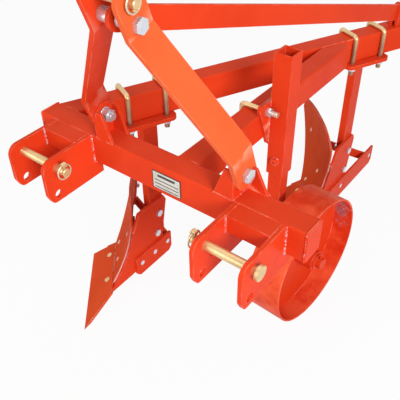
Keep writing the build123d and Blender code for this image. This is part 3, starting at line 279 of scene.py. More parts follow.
class Palette(Bench):
    """A material under construction, with its Principled shader."""

    def __init__(self, name: str) -> None:
        """Start a material with a bare Principled shader.

        Args:
            name: Name of the material.
        """
        self.material = bpy.data.materials.new(name)
        self.material.use_nodes = True
        super().__init__(self.material.node_tree)
        self.shader = self.tree.nodes["Principled BSDF"]

    def shade(self, **inputs: Source) -> None:
        """Set or link inputs of the shader, named with underscores for spaces."""
        for label, source in inputs.items():
            self.feed(self.shader.inputs[label.replace("_", " ")], source)

    def base(self) -> Socket:
        """Socket that feeds the shader's base colour."""
        return self.shader.inputs["Base Color"].links[0].from_socket

    def effect(self, shared: Effect, **values: float) -> Socket:
        """Place a shared effect with its own values, and give what it puts out."""
        return self.node("ShaderNodeGroup", values, node_tree=shared.tree).outputs[0]

    def mix(self, mask: Socket, low: Colour | Socket, high: Colour | Socket) -> Socket:
        """Mix two colours, each a value or a socket, by a mask from 0 to 1."""
        # A Mix node's colour pair are its inputs 6 and 7, and its colour output is number 2.
        first, second = ((*end, 1.0) if isinstance(end, tuple) else end for end in (low, high))
        return self.node("ShaderNodeMix", {0: mask, 6: first, 7: second}, data_type="RGBA").outputs[2]

    def below(self, full: float, none: float) -> Socket:
        """Mask by height in metres, 1 up to the full height and 0 from the other one."""
        return self.ramp(self.split(self.coords())["Z"], none, full)

    def length(self, vector: Socket) -> Socket:
        """Length of a vector."""
        return self.node("ShaderNodeVectorMath", {0: vector}, operation="LENGTH").outputs["Value"]

    def place(self, centre: Vector, turn: Matrix, half: Vector) -> Socket:
        """Object coordinates brought into a box's own frame, from -1 to 1 along each side.

        Args:
            centre: Middle of the box.
            turn: Rotation from the row frame to the box's axes.
            half: Half sides of the box.

        Returns:
            The coordinates' socket.
        """
        shift = self.node("ShaderNodeVectorMath", {0: self.coords(), 1: centre}, operation="SUBTRACT")
        inputs = {"Vector": shift.outputs["Vector"], "Rotation": turn.to_euler()}
        turned = self.node("ShaderNodeMapping", inputs, vector_type="POINT").outputs["Vector"]
        return self.node("ShaderNodeVectorMath", {0: turned, 1: half}, operation="DIVIDE").outputs["Vector"]


@dataclass(frozen=True)
class PaintFinish:
    """Sprayed gloss enamel on steel."""

    name: str
    colour: Colour
    deep: Colour
    dust_colour: Colour = (0.52, 0.23, 0.13)
    dust: float = 0.08
    gloss_low: float = 0.32
    gloss_high: float = 0.42
    shine: float = 0.04
    # The pale colour along convex edges is partly rubbed paint and partly a painted highlight, which stands
    # in for light caught by the rounded arrises.
    wear_and_highlight: float = 0.6
    wear_and_highlight_width: float = 3.0
    wear_and_highlight_colour: Colour = (0.92, 0.36, 0.24)
    patch_scale: float = 5.0

    def palette(self) -> Palette:
        """Build the enamel.

        Returns:
            Its palette, ready for more nodes.
        """
        made = Palette(self.name)
        patches = made.effect(CLOUD, Scale=self.patch_scale, Low=0.35, High=0.68)
        mottle = made.effect(CLOUD, Scale=55.0, Low=0.3, High=0.7)
        dust = made.effect(DUST, Amount=self.dust, Scale=22.0)
        # Painted edge highlight, mixed with rubbed paint, along the arrises.
        wear_and_highlight_mask = made.effect(WEAR_AND_HIGHLIGHT, Width=self.wear_and_highlight_width * MM, Amount=self.wear_and_highlight, Scale=30.0)
        colour = made.mix(patches, self.colour, self.deep)
        colour = made.mix(dust, colour, self.dust_colour)
        made.shade(
            Base_Color=made.mix(wear_and_highlight_mask, colour, self.wear_and_highlight_colour),
            Roughness=made.span(mottle, self.gloss_low, self.gloss_high),
            Normal=made.effect(PEEL, Scale=260.0, Depth=0.00025),
            Specular_IOR_Level=self.shine,
        )
        return made

    def material(self) -> Material:
        """The enamel as a material."""
        return self.palette().material


@dataclass(frozen=True)
class PaintWithBareSpotsAndGlints:
    """Paint with pale, partly metallic patches: paint scoured off the mouldboard's shin, and painted glints
    on the weld beads.
    """

    paint: PaintFinish
    bare_and_glint: Colour = (0.62, 0.42, 0.44)
    share_low: float = 0.50
    share_high: float = 0.62
    metallic: float = 0.6
    fade: tuple[float, float] | None = None

    def material(self) -> Material:
        """The broken paint as a material.

        Returns:
            The material, with its patches all over, or only below the fade's heights where it has one.
        """
        made = self.paint.palette()
        mask = made.effect(CLOUD, Scale=130.0, Low=self.share_low, High=self.share_high)
        if self.fade:
            mask = made.product(mask, made.below(*self.fade))
        colour = made.mix(mask, made.base(), self.bare_and_glint)
        made.shade(Base_Color=colour, Metallic=made.span(mask, 0.0, self.metallic))
        return made.material


@dataclass(frozen=True)
class PlatedFinish:
    """Zinc or bronze surface, with patches where the plating took unevenly."""

    name: str
    colour: Colour
    patch: Colour
    stain: Colour
    gloss_low: float = 0.30
    gloss_high: float = 0.45
    metallic: float = 0.65
    stained: float = 0.3
    colour_below: Colour | None = None
    fade: tuple[float, float] = (0.605, 0.655)

    def material(self) -> Material:
        """The plating as a material.

        Returns:
            The material, with another colour below the fade's heights where one is given.
        """
        made = Palette(self.name)
        broad = made.effect(CLOUD, Scale=30.0, Low=0.3, High=0.7)
        fine = made.effect(CLOUD, Scale=110.0, Low=0.4, High=0.8)
        colour = made.mix(broad, self.colour, self.patch)
        colour = made.mix(made.span(fine, 0.0, self.stained), colour, self.stain)
        if self.colour_below:
            colour = made.mix(made.below(*self.fade), colour, self.colour_below)
        made.shade(
            Base_Color=colour,
            Roughness=made.span(fine, self.gloss_low, self.gloss_high),
            Normal=made.effect(PEEL, Scale=500.0, Depth=0.00002),
            Metallic=self.metallic,
        )
        return made.material


@dataclass(frozen=True)
class SeamScorch:
    """Paint burnt off beside the wheel rim's butt weld, on the rim's inner side."""

    centre: Vector
    turn: Matrix
    half: Vector
    axle: Vector
    skin: float
    ragged: float = 0.45
    colour: Colour = (0.46, 0.13, 0.14)
    speck: Colour = (0.55, 0.44, 0.50)
    ENDLESS: ClassVar[float] = 1000.0

    def burn(self, made: Palette) -> Material:
        """Lay the burnt patch over a paint.

        Args:
            made: The paint's palette, with its base colour linked.

        Returns:
            The rim's material.
        """
        reach = made.length(made.place(self.centre, self.turn, self.half))
        uneven = made.span(made.effect(CLOUD, Scale=38.0, Low=0.2, High=0.8), -self.ragged, self.ragged)
        patch = made.ramp(made.join("ADD", reach, uneven), low=1.0, high=0.45)
        radius = made.length(made.place(self.axle, self.turn, Vector((self.ENDLESS, self.skin, self.skin))))
        mask = made.product(patch, made.join("LESS_THAN", radius, 1.0))
        specks = made.effect(CLOUD, Scale=170.0, Low=0.52, High=0.66)
        made.shade(Base_Color=made.mix(mask, made.base(), made.mix(specks, self.colour, self.speck)))
        return made.material


@dataclass(frozen=True)
class PlateFinish:
    """Bare sheet-metal plate with a printed dark border, a plain head bar and empty ruled rows.

    Places on the plate go from -1 to 1 across it and up it.
    """

    name: str
    low: Vector
    high: Vector
    sheet: Colour = (0.70, 0.67, 0.60)
    grimy: Colour = (0.574, 0.5494, 0.492)
    ink: Colour = (0.03, 0.03, 0.035)
    border_x: float = 0.95
    border_z: float = 0.93
    rows: int = 5
    rule_share: float = 0.26
    rule_reach: float = 0.84
    rules_top: float = 0.4
    bar_low: float = 0.44
    bar_high: float = 0.72
    bar_reach: float = 0.62

    def material(self) -> Material:
        """The plate as a material.

        Returns:
            The material, printed in the plate's own frame.
        """
        made = Palette(self.name)
        half = (self.high - self.low) / 2
        place = made.place((self.low + self.high) / 2, Matrix.Identity(3), Vector((half.x, 1.0, half.z)))
        spot = made.split(place)
        across, height = made.join("ABSOLUTE", spot["X"]), spot["Z"]
        side = made.join("GREATER_THAN", across, self.border_x)
        end = made.join("GREATER_THAN", made.join("ABSOLUTE", height), self.border_z)
        row = made.join("FRACT", made.join("MULTIPLY", height, self.rows / 2.0))
        rules = made.product(
            made.join("LESS_THAN", row, self.rule_share),
            made.join("LESS_THAN", across, self.rule_reach),
            made.join("LESS_THAN", height, self.rules_top),
        )
        bar = made.product(
            made.join("GREATER_THAN", height, self.bar_low),
            made.join("LESS_THAN", height, self.bar_high),
            made.join("LESS_THAN", across, self.bar_reach),
        )
        ink = made.join("MAXIMUM", made.join("MAXIMUM", side, end), made.join("MAXIMUM", rules, bar))
        grime = made.effect(CLOUD, Scale=60.0, Low=0.3, High=0.75)
        made.shade(
            Base_Color=made.mix(ink, made.mix(grime, self.sheet, self.grimy), self.ink),
            Metallic=made.span(ink, low=0.4, high=0.0),
            Roughness=made.span(grime, low=0.32, high=0.5),
        )
        return made.material


PAINT = PaintFinish("orange_red_enamel", (0.78, 0.056, 0.014), (0.71, 0.046, 0.011))
SOIL_PAINT = PaintFinish(
    "orange_red_enamel_on_soil_plates",
    (0.77, 0.088, 0.024),
    (0.68, 0.070, 0.018),
    gloss_low=0.44,
    gloss_high=0.58,
    shine=0.01,
    # A paler edge colour: a painted highlight along the plates' edges, with some rubbed paint.
    wear_and_highlight=0.65,
    wear_and_highlight_colour=(0.94, 0.68, 0.62),
)
RIM_PAINT = PaintFinish(
    "orange_red_enamel_on_rim", (0.85, 0.115, 0.042), (0.68, 0.040, 0.010), patch_scale=13.0
)
# The near mast leg gets a lighter orange than the other leg. This is painted light, standing in for the
# strong light that falls on it; the real legs share one paint. Its edge colour is the painted highlight as
# well.
LIT_LEG_PAINT = PaintFinish(
    "enamel_painted_lit_on_near_mast_leg",
    (0.82, 0.132, 0.038),
    (0.79, 0.114, 0.032),
    wear_and_highlight=0.5,
    wear_and_highlight_colour=(0.93, 0.44, 0.30),
)
# The weld beads' lilac, partly metallic patches are painted glints: highlights that stand in for light
# caught by the rippled paint.
WELD_GLINT_PAINT = PaintWithBareSpotsAndGlints(PaintFinish("enamel_with_painted_weld_glints", PAINT.colour, (0.64, 0.040, 0.010)))
SHIN = PaintWithBareSpotsAndGlints(
    PaintFinish("enamel_worn_off_shin", SOIL_PAINT.colour, SOIL_PAINT.deep, shine=SOIL_PAINT.shine),
    bare_and_glint=(0.92, 0.82, 0.82),
    share_low=0.22,
    share_high=0.40,
    metallic=0.2,
    fade=(0.13, 0.21),
)
YELLOW_ZINC = PlatedFinish("yellow_zinc_plating", (0.78, 0.56, 0.28), (0.70, 0.49, 0.24), (0.54, 0.34, 0.17))
U_BOLT_ZINC = PlatedFinish(
    "yellow_zinc_on_u_bolts",
    YELLOW_ZINC.colour,
    YELLOW_ZINC.patch,
    YELLOW_ZINC.stain,
    # Darker towards the bottom of the legs, below the fade's heights.
    colour_below=(0.40, 0.24, 0.15),
)
BRIGHT_ZINC = PlatedFinish(
    "bright_zinc_plating",
    (0.71, 0.74, 0.79),
    (0.62, 0.65, 0.70),
    (0.48, 0.50, 0.53),
    gloss_low=0.22,
    gloss_high=0.36,
)
SPRING_WIRE = PlatedFinish("plated_spring_wire", (0.70, 0.62, 0.42), (0.62, 0.58, 0.44), (0.52, 0.44, 0.30))
BEARING_BRONZE = PlatedFinish("bearing_bronze", (0.55, 0.34, 0.15), (0.48, 0.30, 0.14), (0.34, 0.20, 0.10))
USUAL: dict[Slot, PaintFinish | PlatedFinish] = {
    Slot.PAINT: PAINT,
    Slot.SOIL: SOIL_PAINT,
    Slot.YELLOW: YELLOW_ZINC,
    Slot.ZINC: BRIGHT_ZINC,
    Slot.SPRING: SPRING_WIRE,
    Slot.BRONZE: BEARING_BRONZE,
}


@cache
def coat(finish: PaintFinish | PaintWithBareSpotsAndGlints | PlatedFinish) -> Material:
    """The material of a finish, made when it is first asked for."""
    return finish.material()


def add_object(name: str, mesh: bpy.types.Mesh) -> bpy.types.Object:
    """Put a mesh into the scene.

    Args:
        name: Name of the object.
        mesh: Its mesh.

    Returns:
        The new object, at the origin.
    """
    made = bpy.data.objects.new(name, mesh)
    bpy.context.scene.collection.objects.link(made)
    return made


def settle(piece: bpy.types.Object) -> None:
    """Turn a piece's modifiers into plain mesh.

    Args:
        piece: Object whose modifiers are evaluated and then removed.
    """
    graph = bpy.context.evaluated_depsgraph_get()
    mesh = bpy.data.meshes.new_from_object(piece.evaluated_get(graph), depsgraph=graph)
    mesh.name = piece.name
    piece.modifiers.clear()
    piece.data = mesh


def hand_over(piece: bpy.types.Object, body: Body, slot: Slot, *nodes: str) -> None:
    """Tie a finished piece to its body and hide the nodes that it stands for.

    Args:
        piece: The finished object.
        body: Body that it rides on.
        slot: The record's material slot; not used.
        nodes: CAD nodes that it replaces.
    """
    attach(piece, body.value)
    if nodes:
        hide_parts(*nodes)
    LOG.info("%s: %d faces on %s", piece.name, len(piece.data.polygons), body.value)


@dataclass
class DressedNode:
    """A CAD node with its facets joined, its outer edges broken and a finish on it.

    Sizes are in millimetres and angles in degrees.
    """

    node: str
    body: Body
    slot: Slot
    edge: float
    material: Material | None = None
    merge_within: float = 0.002
    flat_below: float = 0.4
    smooth_below: float = 32.0
    sharp_above: float = 50.0

    def joined(self) -> bpy.types.Mesh:
        """Join the node's loose triangles and mark its outer edges.

        Returns:
            A new mesh, with a bevel weight of 1 on each edge to be broken.
        """
        source = bmesh.new()
        source.from_mesh(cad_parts[self.node].data)
        bmesh.ops.remove_doubles(source, verts=source.verts, dist=self.merge_within * MM)
        flat = math.radians(self.flat_below)
        bmesh.ops.dissolve_limit(source, angle_limit=flat, verts=source.verts, edges=source.edges)
        weight = source.edges.layers.float.new("bevel_weight_edge")
        least = math.radians(self.smooth_below)
        for edge in source.edges:
            if edge.is_manifold and edge.is_convex and edge.calc_face_angle(0.0) > least:
                edge[weight] = 1.0
        mesh = bpy.data.meshes.new(f"{self.node}_dressed")
        source.to_mesh(mesh)
        source.free()
        mesh.shade_smooth()
        return mesh

    def build(self) -> bpy.types.Object:
        """Make the dressed copy.

        Returns:
            The piece, riding on its body in place of the node.
        """
        piece = add_object(f"{self.node}_dressed", self.joined())
        bevel = piece.modifiers.new("BrokenEdges", "BEVEL")
        bevel.width = self.edge * MM
        bevel.segments = 2
        bevel.limit_method = "WEIGHT"
        bevel.use_clamp_overlap = True
        settle(piece)
        piece.data.set_sharp_from_angle(angle=math.radians(self.sharp_above))
        even = piece.modifiers.new("EvenShading", "WEIGHTED_NORMAL")
        even.keep_sharp = True
        even.weight = 100
        settle(piece)
        piece.data.materials.clear()
        piece.data.materials.append(self.material or coat(USUAL[self.slot]))
        hand_over(piece, self.body, self.slot, self.node)
        return piece


def dress_nodes(
    slot: Slot, *nodes: str, edge: float, body: Body = Body.FRAME, material: Material | None = None
) -> list[bpy.types.Object]:
    """Dress CAD nodes alike, with the width of their broken edges in millimetres."""
    return [DressedNode(node, body, slot, edge, material).build() for node in nodes]


class NodeTool(GroupBench):
    """A Geometry Nodes tree with named inputs, run over a mesh of lines or points."""

    def __init__(self, name: str, sizes: dict[str, float]) -> None:
        """Start the tree, with the defaults of its sizes in metres."""
        inputs = {"Geometry": "NodeSocketGeometry", **sizes, "Material": "NodeSocketMaterial"}
        super().__init__(name, "GeometryNodeTree", inputs, "Geometry", "NodeSocketGeometry")

    def repeat(self, points: Socket, shape: Socket, **placing: Socket) -> None:
        """Put a shape on points and end the tree with real, smooth faces of one material.

        Args:
            points: The points' socket.
            shape: The shape's mesh.
            placing: Rotation or Scale of each copy.
        """
        inputs = {"Points": points, "Instance": shape, **placing}
        copies = self.node("GeometryNodeInstanceOnPoints", inputs).outputs["Instances"]
        real = self.node("GeometryNodeRealizeInstances", {"Geometry": copies}).outputs["Geometry"]
        smooth = self.node("GeometryNodeSetShadeSmooth", {"Geometry": real, "Shade Smooth": True})
        inputs = {"Geometry": smooth.outputs["Geometry"], "Material": self.given("Material")}
        self.put_out(self.node("GeometryNodeSetMaterial", inputs).outputs["Geometry"])

    def string(self, step: Socket, axis: str, shape: Socket, **placing: Socket) -> None:
        """String a shape along the lines and end the tree.

        Args:
            step: Distance from one copy to the next.
            axis: The shape's own axis that follows the line.
            shape: The shape's mesh.
            placing: Scale of each copy.
        """
        curve = self.node("GeometryNodeMeshToCurve", {"Mesh": self.given("Geometry")}).outputs["Curve"]
        steps = self.node("GeometryNodeResampleCurve", {"Curve": curve, "Length": step}, mode="LENGTH")
        tangent = self.node("GeometryNodeInputTangent").outputs["Tangent"]
        turn = self.node("FunctionNodeAlignRotationToVector", {"Vector": tangent}, axis=axis)
        self.repeat(steps.outputs["Curve"], shape, Rotation=turn.outputs["Rotation"], **placing)

    def run(self, name: str, paths: list[Path], **values: float | Material) -> bpy.types.Object:
        """Run the tree over lines and keep the result as a plain mesh.

        Args:
            name: Name of the piece.
            paths: Lines, or single points, in the row frame.
            values: Values for the tree's inputs, with underscores for spaces.

        Returns:
            The finished object.
        """
        points: list[Vector] = []
        edges: list[tuple[int, int]] = []
        for path in paths:
            first = len(points)
            points.extend(path)
            edges.extend((first + step, first + step + 1) for step in range(len(path) - 1))
        mesh = bpy.data.meshes.new(name)
        mesh.from_pydata([tuple(point) for point in points], edges, [])
        piece = add_object(name, mesh)
        modifier = piece.modifiers.new(self.tree.name, "NODES")
        modifier.node_group = self.tree
        sockets = self.tree.interface.items_tree
        keys = {item.name: item.identifier for item in sockets if item.in_out == "INPUT"}
        for label, value in values.items():
            modifier[keys[label.replace("_", " ")]] = value
        settle(piece)
        return piece


class WeldBeads(NodeTool):
    """Rippled bead of weld metal along a seam."""

    def __init__(self) -> None:
        """Build the tree: one flattened drop per ripple, strung along the seam."""
        super().__init__("WeldBeads", {"Bead Width": 0.007, "Ripple": 0.0032})
        drop = self.node("GeometryNodeMeshUVSphere", {"Segments": 8, "Rings": 6, "Radius": 0.5})
        # A Random Value node's float limits are its inputs 2 and 3, and its float output is number 1.
        chance = {2: 0.78, 3: 1.14, "Seed": 7}
        uneven = self.node("FunctionNodeRandomValue", chance, data_type="FLOAT").outputs[1]
        overlap = 2.1
        along = self.join("MULTIPLY", self.given("Ripple"), overlap)
        across = self.join("MULTIPLY", self.given("Bead Width"), uneven)
        size = self.node("ShaderNodeCombineXYZ", {"X": along, "Y": across, "Z": across}).outputs["Vector"]
        self.string(self.given("Ripple"), "X", drop.outputs["Mesh"], Scale=size)

    def lay(
        self,
        name: str,
        seams: list[Path],
        width: float,
        ripple: float,
        finish: PaintFinish | PaintWithBareSpotsAndGlints = PAINT,
        body: Body = Body.FRAME,
    ) -> None:
        """Lay painted beads along seams, with their width and ripple in millimetres."""
        beads = self.run(name, seams, Bead_Width=width * MM, Ripple=ripple * MM, Material=coat(finish))
        hand_over(beads, body, Slot.PAINT)


class ThreadRidges(NodeTool):
    """Ridges of a screw thread along a rod's free end."""

    def __init__(self) -> None:
        """Build the tree: one ring per turn, square to the rod."""
        super().__init__("ThreadRidges", {"Rod Radius": 0.007, "Pitch": 0.002, "Ridge": 0.0006})
        circle_node = "GeometryNodeCurvePrimitiveCircle"
        rod = self.node(circle_node, {"Radius": self.given("Rod Radius"), "Resolution": 20}, mode="RADIUS")
        ridge = self.node(circle_node, {"Radius": self.given("Ridge"), "Resolution": 4}, mode="RADIUS")
        inputs = {"Curve": rod.outputs["Curve"], "Profile Curve": ridge.outputs["Curve"]}
        ring = self.node("GeometryNodeCurveToMesh", inputs).outputs["Mesh"]
        self.string(self.given("Pitch"), "Z", ring)


class RivetHeads(NodeTool):
    """Domed rivet heads on points of an upright face."""

    def __init__(self) -> None:
        """Build the tree: one flattened dome per point."""
        super().__init__("RivetHeads", {"Head Radius": 0.002, "Rise": 0.001})
        dome = self.node("GeometryNodeMeshUVSphere", {"Segments": 14, "Rings": 8, "Radius": 1.0})
        points = self.node("GeometryNodeMeshToPoints", {"Mesh": self.given("Geometry")})
        radius, rise = self.given("Head Radius"), self.given("Rise")
        size = self.node("ShaderNodeCombineXYZ", {"X": radius, "Y": rise, "Z": radius}).outputs["Vector"]
        self.repeat(points.outputs["Points"], dome.outputs["Mesh"], Scale=size)


BEADS = WeldBeads()
RIDGES = ThreadRidges()
RIVETS = RivetHeads()


def circle(centre: Vector, axis: Vector, radius: float, count: int = 96) -> Path:
    """A closed ring of points.

    Args:
        centre: Middle of the ring.
        axis: Direction square to the ring.
        radius: Radius of the ring.
        count: Number of steps round it.

    Returns:
        The points, the first one again at the end.
    """
    side = axis.orthogonal().normalized()
    other = axis.normalized().cross(side)
    turns = [2 * math.pi * step / count for step in range(count + 1)]
    return [centre + radius * (math.cos(turn) * side + math.sin(turn) * other) for turn in turns]


def rounded(path: Path, radius: float, steps: int = 5) -> Path:
    """Round the corners of a path.

    Args:
        path: Points of the path.
        radius: How far from each inner corner the curve begins.
        steps: Number of steps along each curve.

    Returns:
        The points of the rounded path, with both ends kept.
    """
    smooth = [path[0]]
    for before, corner, after in zip(path, path[1:], path[2:]):
        first = corner + (before - corner).normalized() * radius
        last = corner + (after - corner).normalized() * radius
        for step in range(steps + 1):
            share = step / steps
            smooth.append(first.lerp(corner, share).lerp(corner.lerp(last, share), share))
    smooth.append(path[-1])
    return smooth


class SubAssembly:
    """A part of the plough whose nodes are dressed before what sits on them is added."""

    def build(self) -> None:
        """Dress the nodes."""

    def dress(self) -> None:
        """Add what sits on the nodes."""


@dataclass(frozen=True)
class MainBeamLine:
    """Where the slanted main beam lies, in millimetres and degrees."""

    hitch_x: float = 92.36
    from_hitch: float = -358.5
    front_y: float = -507.0
    angle: float = 25.85
    width: float = 60.0

    def lean(self) -> float:
        """Angle between the beam and the +Y axis, in radians."""
        return math.radians(self.angle)

    def start_x(self) -> float:
        """Where the beam's +X side meets the cross beam's front, along X."""
        return self.hitch_x + self.from_hitch


MAIN_BEAM = MainBeamLine()


@dataclass
class BeamFrame(SubAssembly):
    """Welded tube frame with its hitch clevises and end caps."""

    tube_corner: float = 5.0
    cheek_t: float = 10.0
    cheek_under: float = 25.0
    seam_drop: float = 3.0
    block_drop: float = 2.0
    bead: float = 8.5
    flat_bead: float = 6.0
    cap_bead: float = 4.0
    ripple: float = 3.4
    cheeks: tuple[str, str] = ("left_clevis_cheeks", "right_clevis_cheeks")

    def build(self) -> None:
        """Dress the tubes, caps, cheeks and blocks."""
        dress_nodes(Slot.PAINT, "cross_beam", "main_beam", "brace_beam", "beam_end_caps", edge=0.9)
        dress_nodes(Slot.PAINT, *self.cheeks, "hitch_blocks", edge=1.2)

    def cheek_seams(self, node: str) -> list[Path]:
        """Seams of one clevis on the cross beam and on its block.

        Args:
            node: Name of the cheeks' node.

        Returns:
            Lines along the seams.
        """
        low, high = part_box(node)
        beam_low, beam_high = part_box("cross_beam")
        block_low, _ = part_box("hitch_blocks")
        front, top, bottom = beam_low.y, beam_high.z, beam_low.z
        thick = self.cheek_t * MM
        under = Vector((0.0, self.cheek_under * MM, 0.0))
        seams = []
        for face in (low.x, high.x):
            corner = Vector((face, front, bottom))
            seams.append([Vector((face, front, top - self.seam_drop * MM)), corner, corner + under])
        upper = top - self.block_drop * MM
        for face in (low.x + thick, high.x - thick):
            corner = Vector((face, front, bottom))
            seams.append([Vector((face, front, block_low.z)), corner, corner + under])
            seams.append([Vector((face, block_low.y, z)) for z in (upper, block_low.z)])
        return seams

    def block_seams(self, node: str) -> list[Path]:
        """Seams along the top of one clevis, on its block and on the cross beam.

        Args:
            node: Name of the cheeks' node.

        Returns:
            Lines along the seams.
        """
        low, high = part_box(node)
        beam_low, beam_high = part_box("cross_beam")
        block_low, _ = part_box("hitch_blocks")
        front, top = beam_low.y, beam_high.z - self.block_drop * MM
        seams = [[Vector((low.x, front, top)), Vector((high.x, front, top))]]
        for face in (low.x + self.cheek_t * MM, high.x - self.cheek_t * MM):
            seams.append([Vector((face, block_low.y, top)), Vector((face, front, top))])
        return seams

    def tube_seams(self) -> list[Path]:
        """Seams where the main beam and the brace meet the cross beam and each other.

        Returns:
            Lines along the seams.
        """
        low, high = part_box("cross_beam")
        lean = MAIN_BEAM.lean()
        start = MAIN_BEAM.start_x() * MM
        back, top, bottom = high.y, high.z, low.z
        near = start + (back - low.y) * math.tan(lean)
        far = near - MAIN_BEAM.width * MM / math.cos(lean)
        brace_low, brace_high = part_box("brace_beam")
        upper = top - self.seam_drop * MM
        rims = []
        for left, right in ((far, near), (brace_low.x, brace_high.x)):
            corners = [(left, bottom), (left, upper), (right, upper), (right, bottom)]
            rims.append([Vector((x, back, z)) for x, z in corners])
        meets = [(x, low.y + (x - start) / math.tan(lean)) for x in (brace_low.x, brace_high.x)]
        heights = ((bottom, top), (top, bottom))
        rims.append([Vector((*meet, z)) for meet, pair in zip(meets, heights) for z in pair])
        return [rounded(rim, self.tube_corner * MM) for rim in rims]

    def cap_seams(self) -> tuple[list[Path], list[Path]]:
        """Seams of the end caps round the cross beam's two ends.

        Returns:
            Lines along the front edges, and lines round the other three sides.
        """
        low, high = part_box("cross_beam")
        corner = self.tube_corner * MM
        front = [(low.y, low.z + corner), (low.y, high.z - corner)]
        corners = [(low.y, high.z), (high.y, high.z), (high.y, low.z), (low.y, low.z)]
        rest = [front[1], *corners, front[0]]
        ends = (low.x, high.x)
        return (
            [[Vector((end, y, z)) for y, z in front] for end in ends],
            [rounded([Vector((end, y, z)) for y, z in rest], corner) for end in ends],
        )

    def dress(self) -> None:
        """Lay the weld beads."""
        bare_and_glint = [seam for node in self.cheeks for seam in self.cheek_seams(node)]
        covered = self.tube_seams() + [seam for node in self.cheeks for seam in self.block_seams(node)]
        cap_fronts, cap_rims = self.cap_seams()
        # The beads on the cheeks and on the caps' front edges carry the painted glints.
        BEADS.lay("cheek_welds", bare_and_glint, self.bead, self.ripple, WELD_GLINT_PAINT)
        BEADS.lay("cap_front_welds", cap_fronts, self.cap_bead, self.ripple, WELD_GLINT_PAINT)
        BEADS.lay("cap_welds", cap_rims, self.cap_bead, self.ripple)
        BEADS.lay("frame_welds", covered, self.flat_bead, self.ripple)


@dataclass
class HitchPins(SubAssembly):
    """Three headed pins with their linch pins and rings."""

    sides: tuple[str, str, str] = ("left", "right", "top")

    def build(self) -> None:
        """Dress the pins, linch pins and rings."""
        for side in self.sides:
            pin, ring = Body(f"{side}_pin"), Body(f"{side}_ring")
            dress_nodes(Slot.YELLOW, f"{side}_hitch_pin", edge=0.8, body=pin)
            dress_nodes(Slot.YELLOW, f"{side}_linch_pin", edge=0.5, body=pin)
            dress_nodes(Slot.SPRING, f"{side}_linch_ring", edge=0.2, body=ring)


@dataclass
class DataPlate(SubAssembly):
    """Riveted plate on the cross beam, with no lettering on it."""

    rivet_inset: float = 4.0
    rivet_r: float = 1.9
    rivet_rise: float = 1.0

    def build(self) -> None:
        """Dress the plate."""
        sheet = PlateFinish("bare_data_plate", *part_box("data_plate")).material()
        dress_nodes(Slot.PLATE, "data_plate", edge=0.3, material=sheet)

    def dress(self) -> None:
        """Set a rivet in each corner."""
        low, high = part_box("data_plate")
        inset = self.rivet_inset * MM
        corners = [
            [Vector((x, low.y, z))]
            for x in (low.x + inset, high.x - inset)
            for z in (low.z + inset, high.z - inset)
        ]
        rivets = RIVETS.run(
            "data_plate_rivets",
            corners,
            Head_Radius=self.rivet_r * MM,
            Rise=self.rivet_rise * MM,
            Material=coat(BRIGHT_ZINC),
        )
        hand_over(rivets, Body.FRAME, Slot.ZINC)


@dataclass
class Mast(SubAssembly):
    """Two bent legs on their feet, tied back by the stay."""

    bead: float = 6.0
    ripple: float = 3.0
    foot_depth: float = 51.0
    gusset_out: float = 52.4

    def build(self) -> None:
        """Dress the feet, legs, stay and their fasteners."""
        dress_nodes(Slot.PAINT, "left_mast_foot", "right_mast_foot", edge=1.1)
        dress_nodes(Slot.PAINT, "right_mast_leg", "mast_stay", "stay_lugs", edge=1.1)
        # The near leg's lighter enamel is painted light.
        dress_nodes(Slot.PAINT, "left_mast_leg", edge=1.1, material=coat(LIT_LEG_PAINT))
        dress_nodes(Slot.ZINC, "mast_bolts", "mast_nuts", "mast_washers", "stay_spacers", edge=1.0)

    def dress(self) -> None:
        """Weld the feet to the cross beam."""
        bare_and_glint: list[Path] = []
        covered: list[Path] = []
        beam_low, beam_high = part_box("cross_beam")
        front, back, top = beam_low.y, beam_high.y, beam_high.z
        for node, way in (("left_mast_foot", 1.0), ("right_mast_foot", -1.0)):
            low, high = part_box(node)
            outer = high.x if way > 0 else low.x
            web = outer - way * self.gusset_out * MM
            inner = web - way * self.foot_depth * MM
            bare_and_glint.append([Vector((web, front, top)), Vector((web, back, top))])
            covered.append([Vector((inner, front, top)), Vector((web, front, top))])
            covered.append([Vector((outer, back, top)), Vector((inner, back, top))])
        # The beads along the feet's webs carry the painted glints.
        BEADS.lay("foot_welds", bare_and_glint, self.bead, self.ripple, WELD_GLINT_PAINT)
        BEADS.lay("mast_welds", covered, self.bead, self.ripple)


@dataclass
class PloughBody(SubAssembly):
    """One plough body: leg, frog, landside, share, mouldboard and their stay."""

    name: str
    bead: float = 8.0
    ripple: float = 3.6
    seam_drop: float = 1.0
    shin_facing: float = 0.9

    def build(self) -> None:
        """Dress the body's plates, with the paint scoured off the board's land-side edge."""
        painted = [f"{self.name}_{piece}" for piece in ("clamp_plate", "leg", "frog", "board_stay")]
        dress_nodes(Slot.PAINT, *painted, edge=1.0)
        dress_nodes(Slot.SOIL, f"{self.name}_landside", edge=0.8, material=coat(PAINT))
        _, board = dress_nodes(Slot.SOIL, f"{self.name}_share", f"{self.name}_mouldboard", edge=0.8)
        board.data.materials.append(coat(SHIN))
        for face in board.data.polygons:
            if face.normal.x > self.shin_facing:
                face.material_index = 1

    def dress(self) -> None:
        """Weld the leg's top to its clamp plate."""
        low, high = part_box(f"{self.name}_leg")
        ring = [(low.x, low.y), (high.x, low.y), (high.x, high.y), (low.x, high.y), (low.x, low.y)]
        seam = [Vector((x, y, high.z - self.seam_drop * MM)) for x, y in ring]
        BEADS.lay(f"{self.name}_leg_weld", [seam], self.bead, self.ripple)


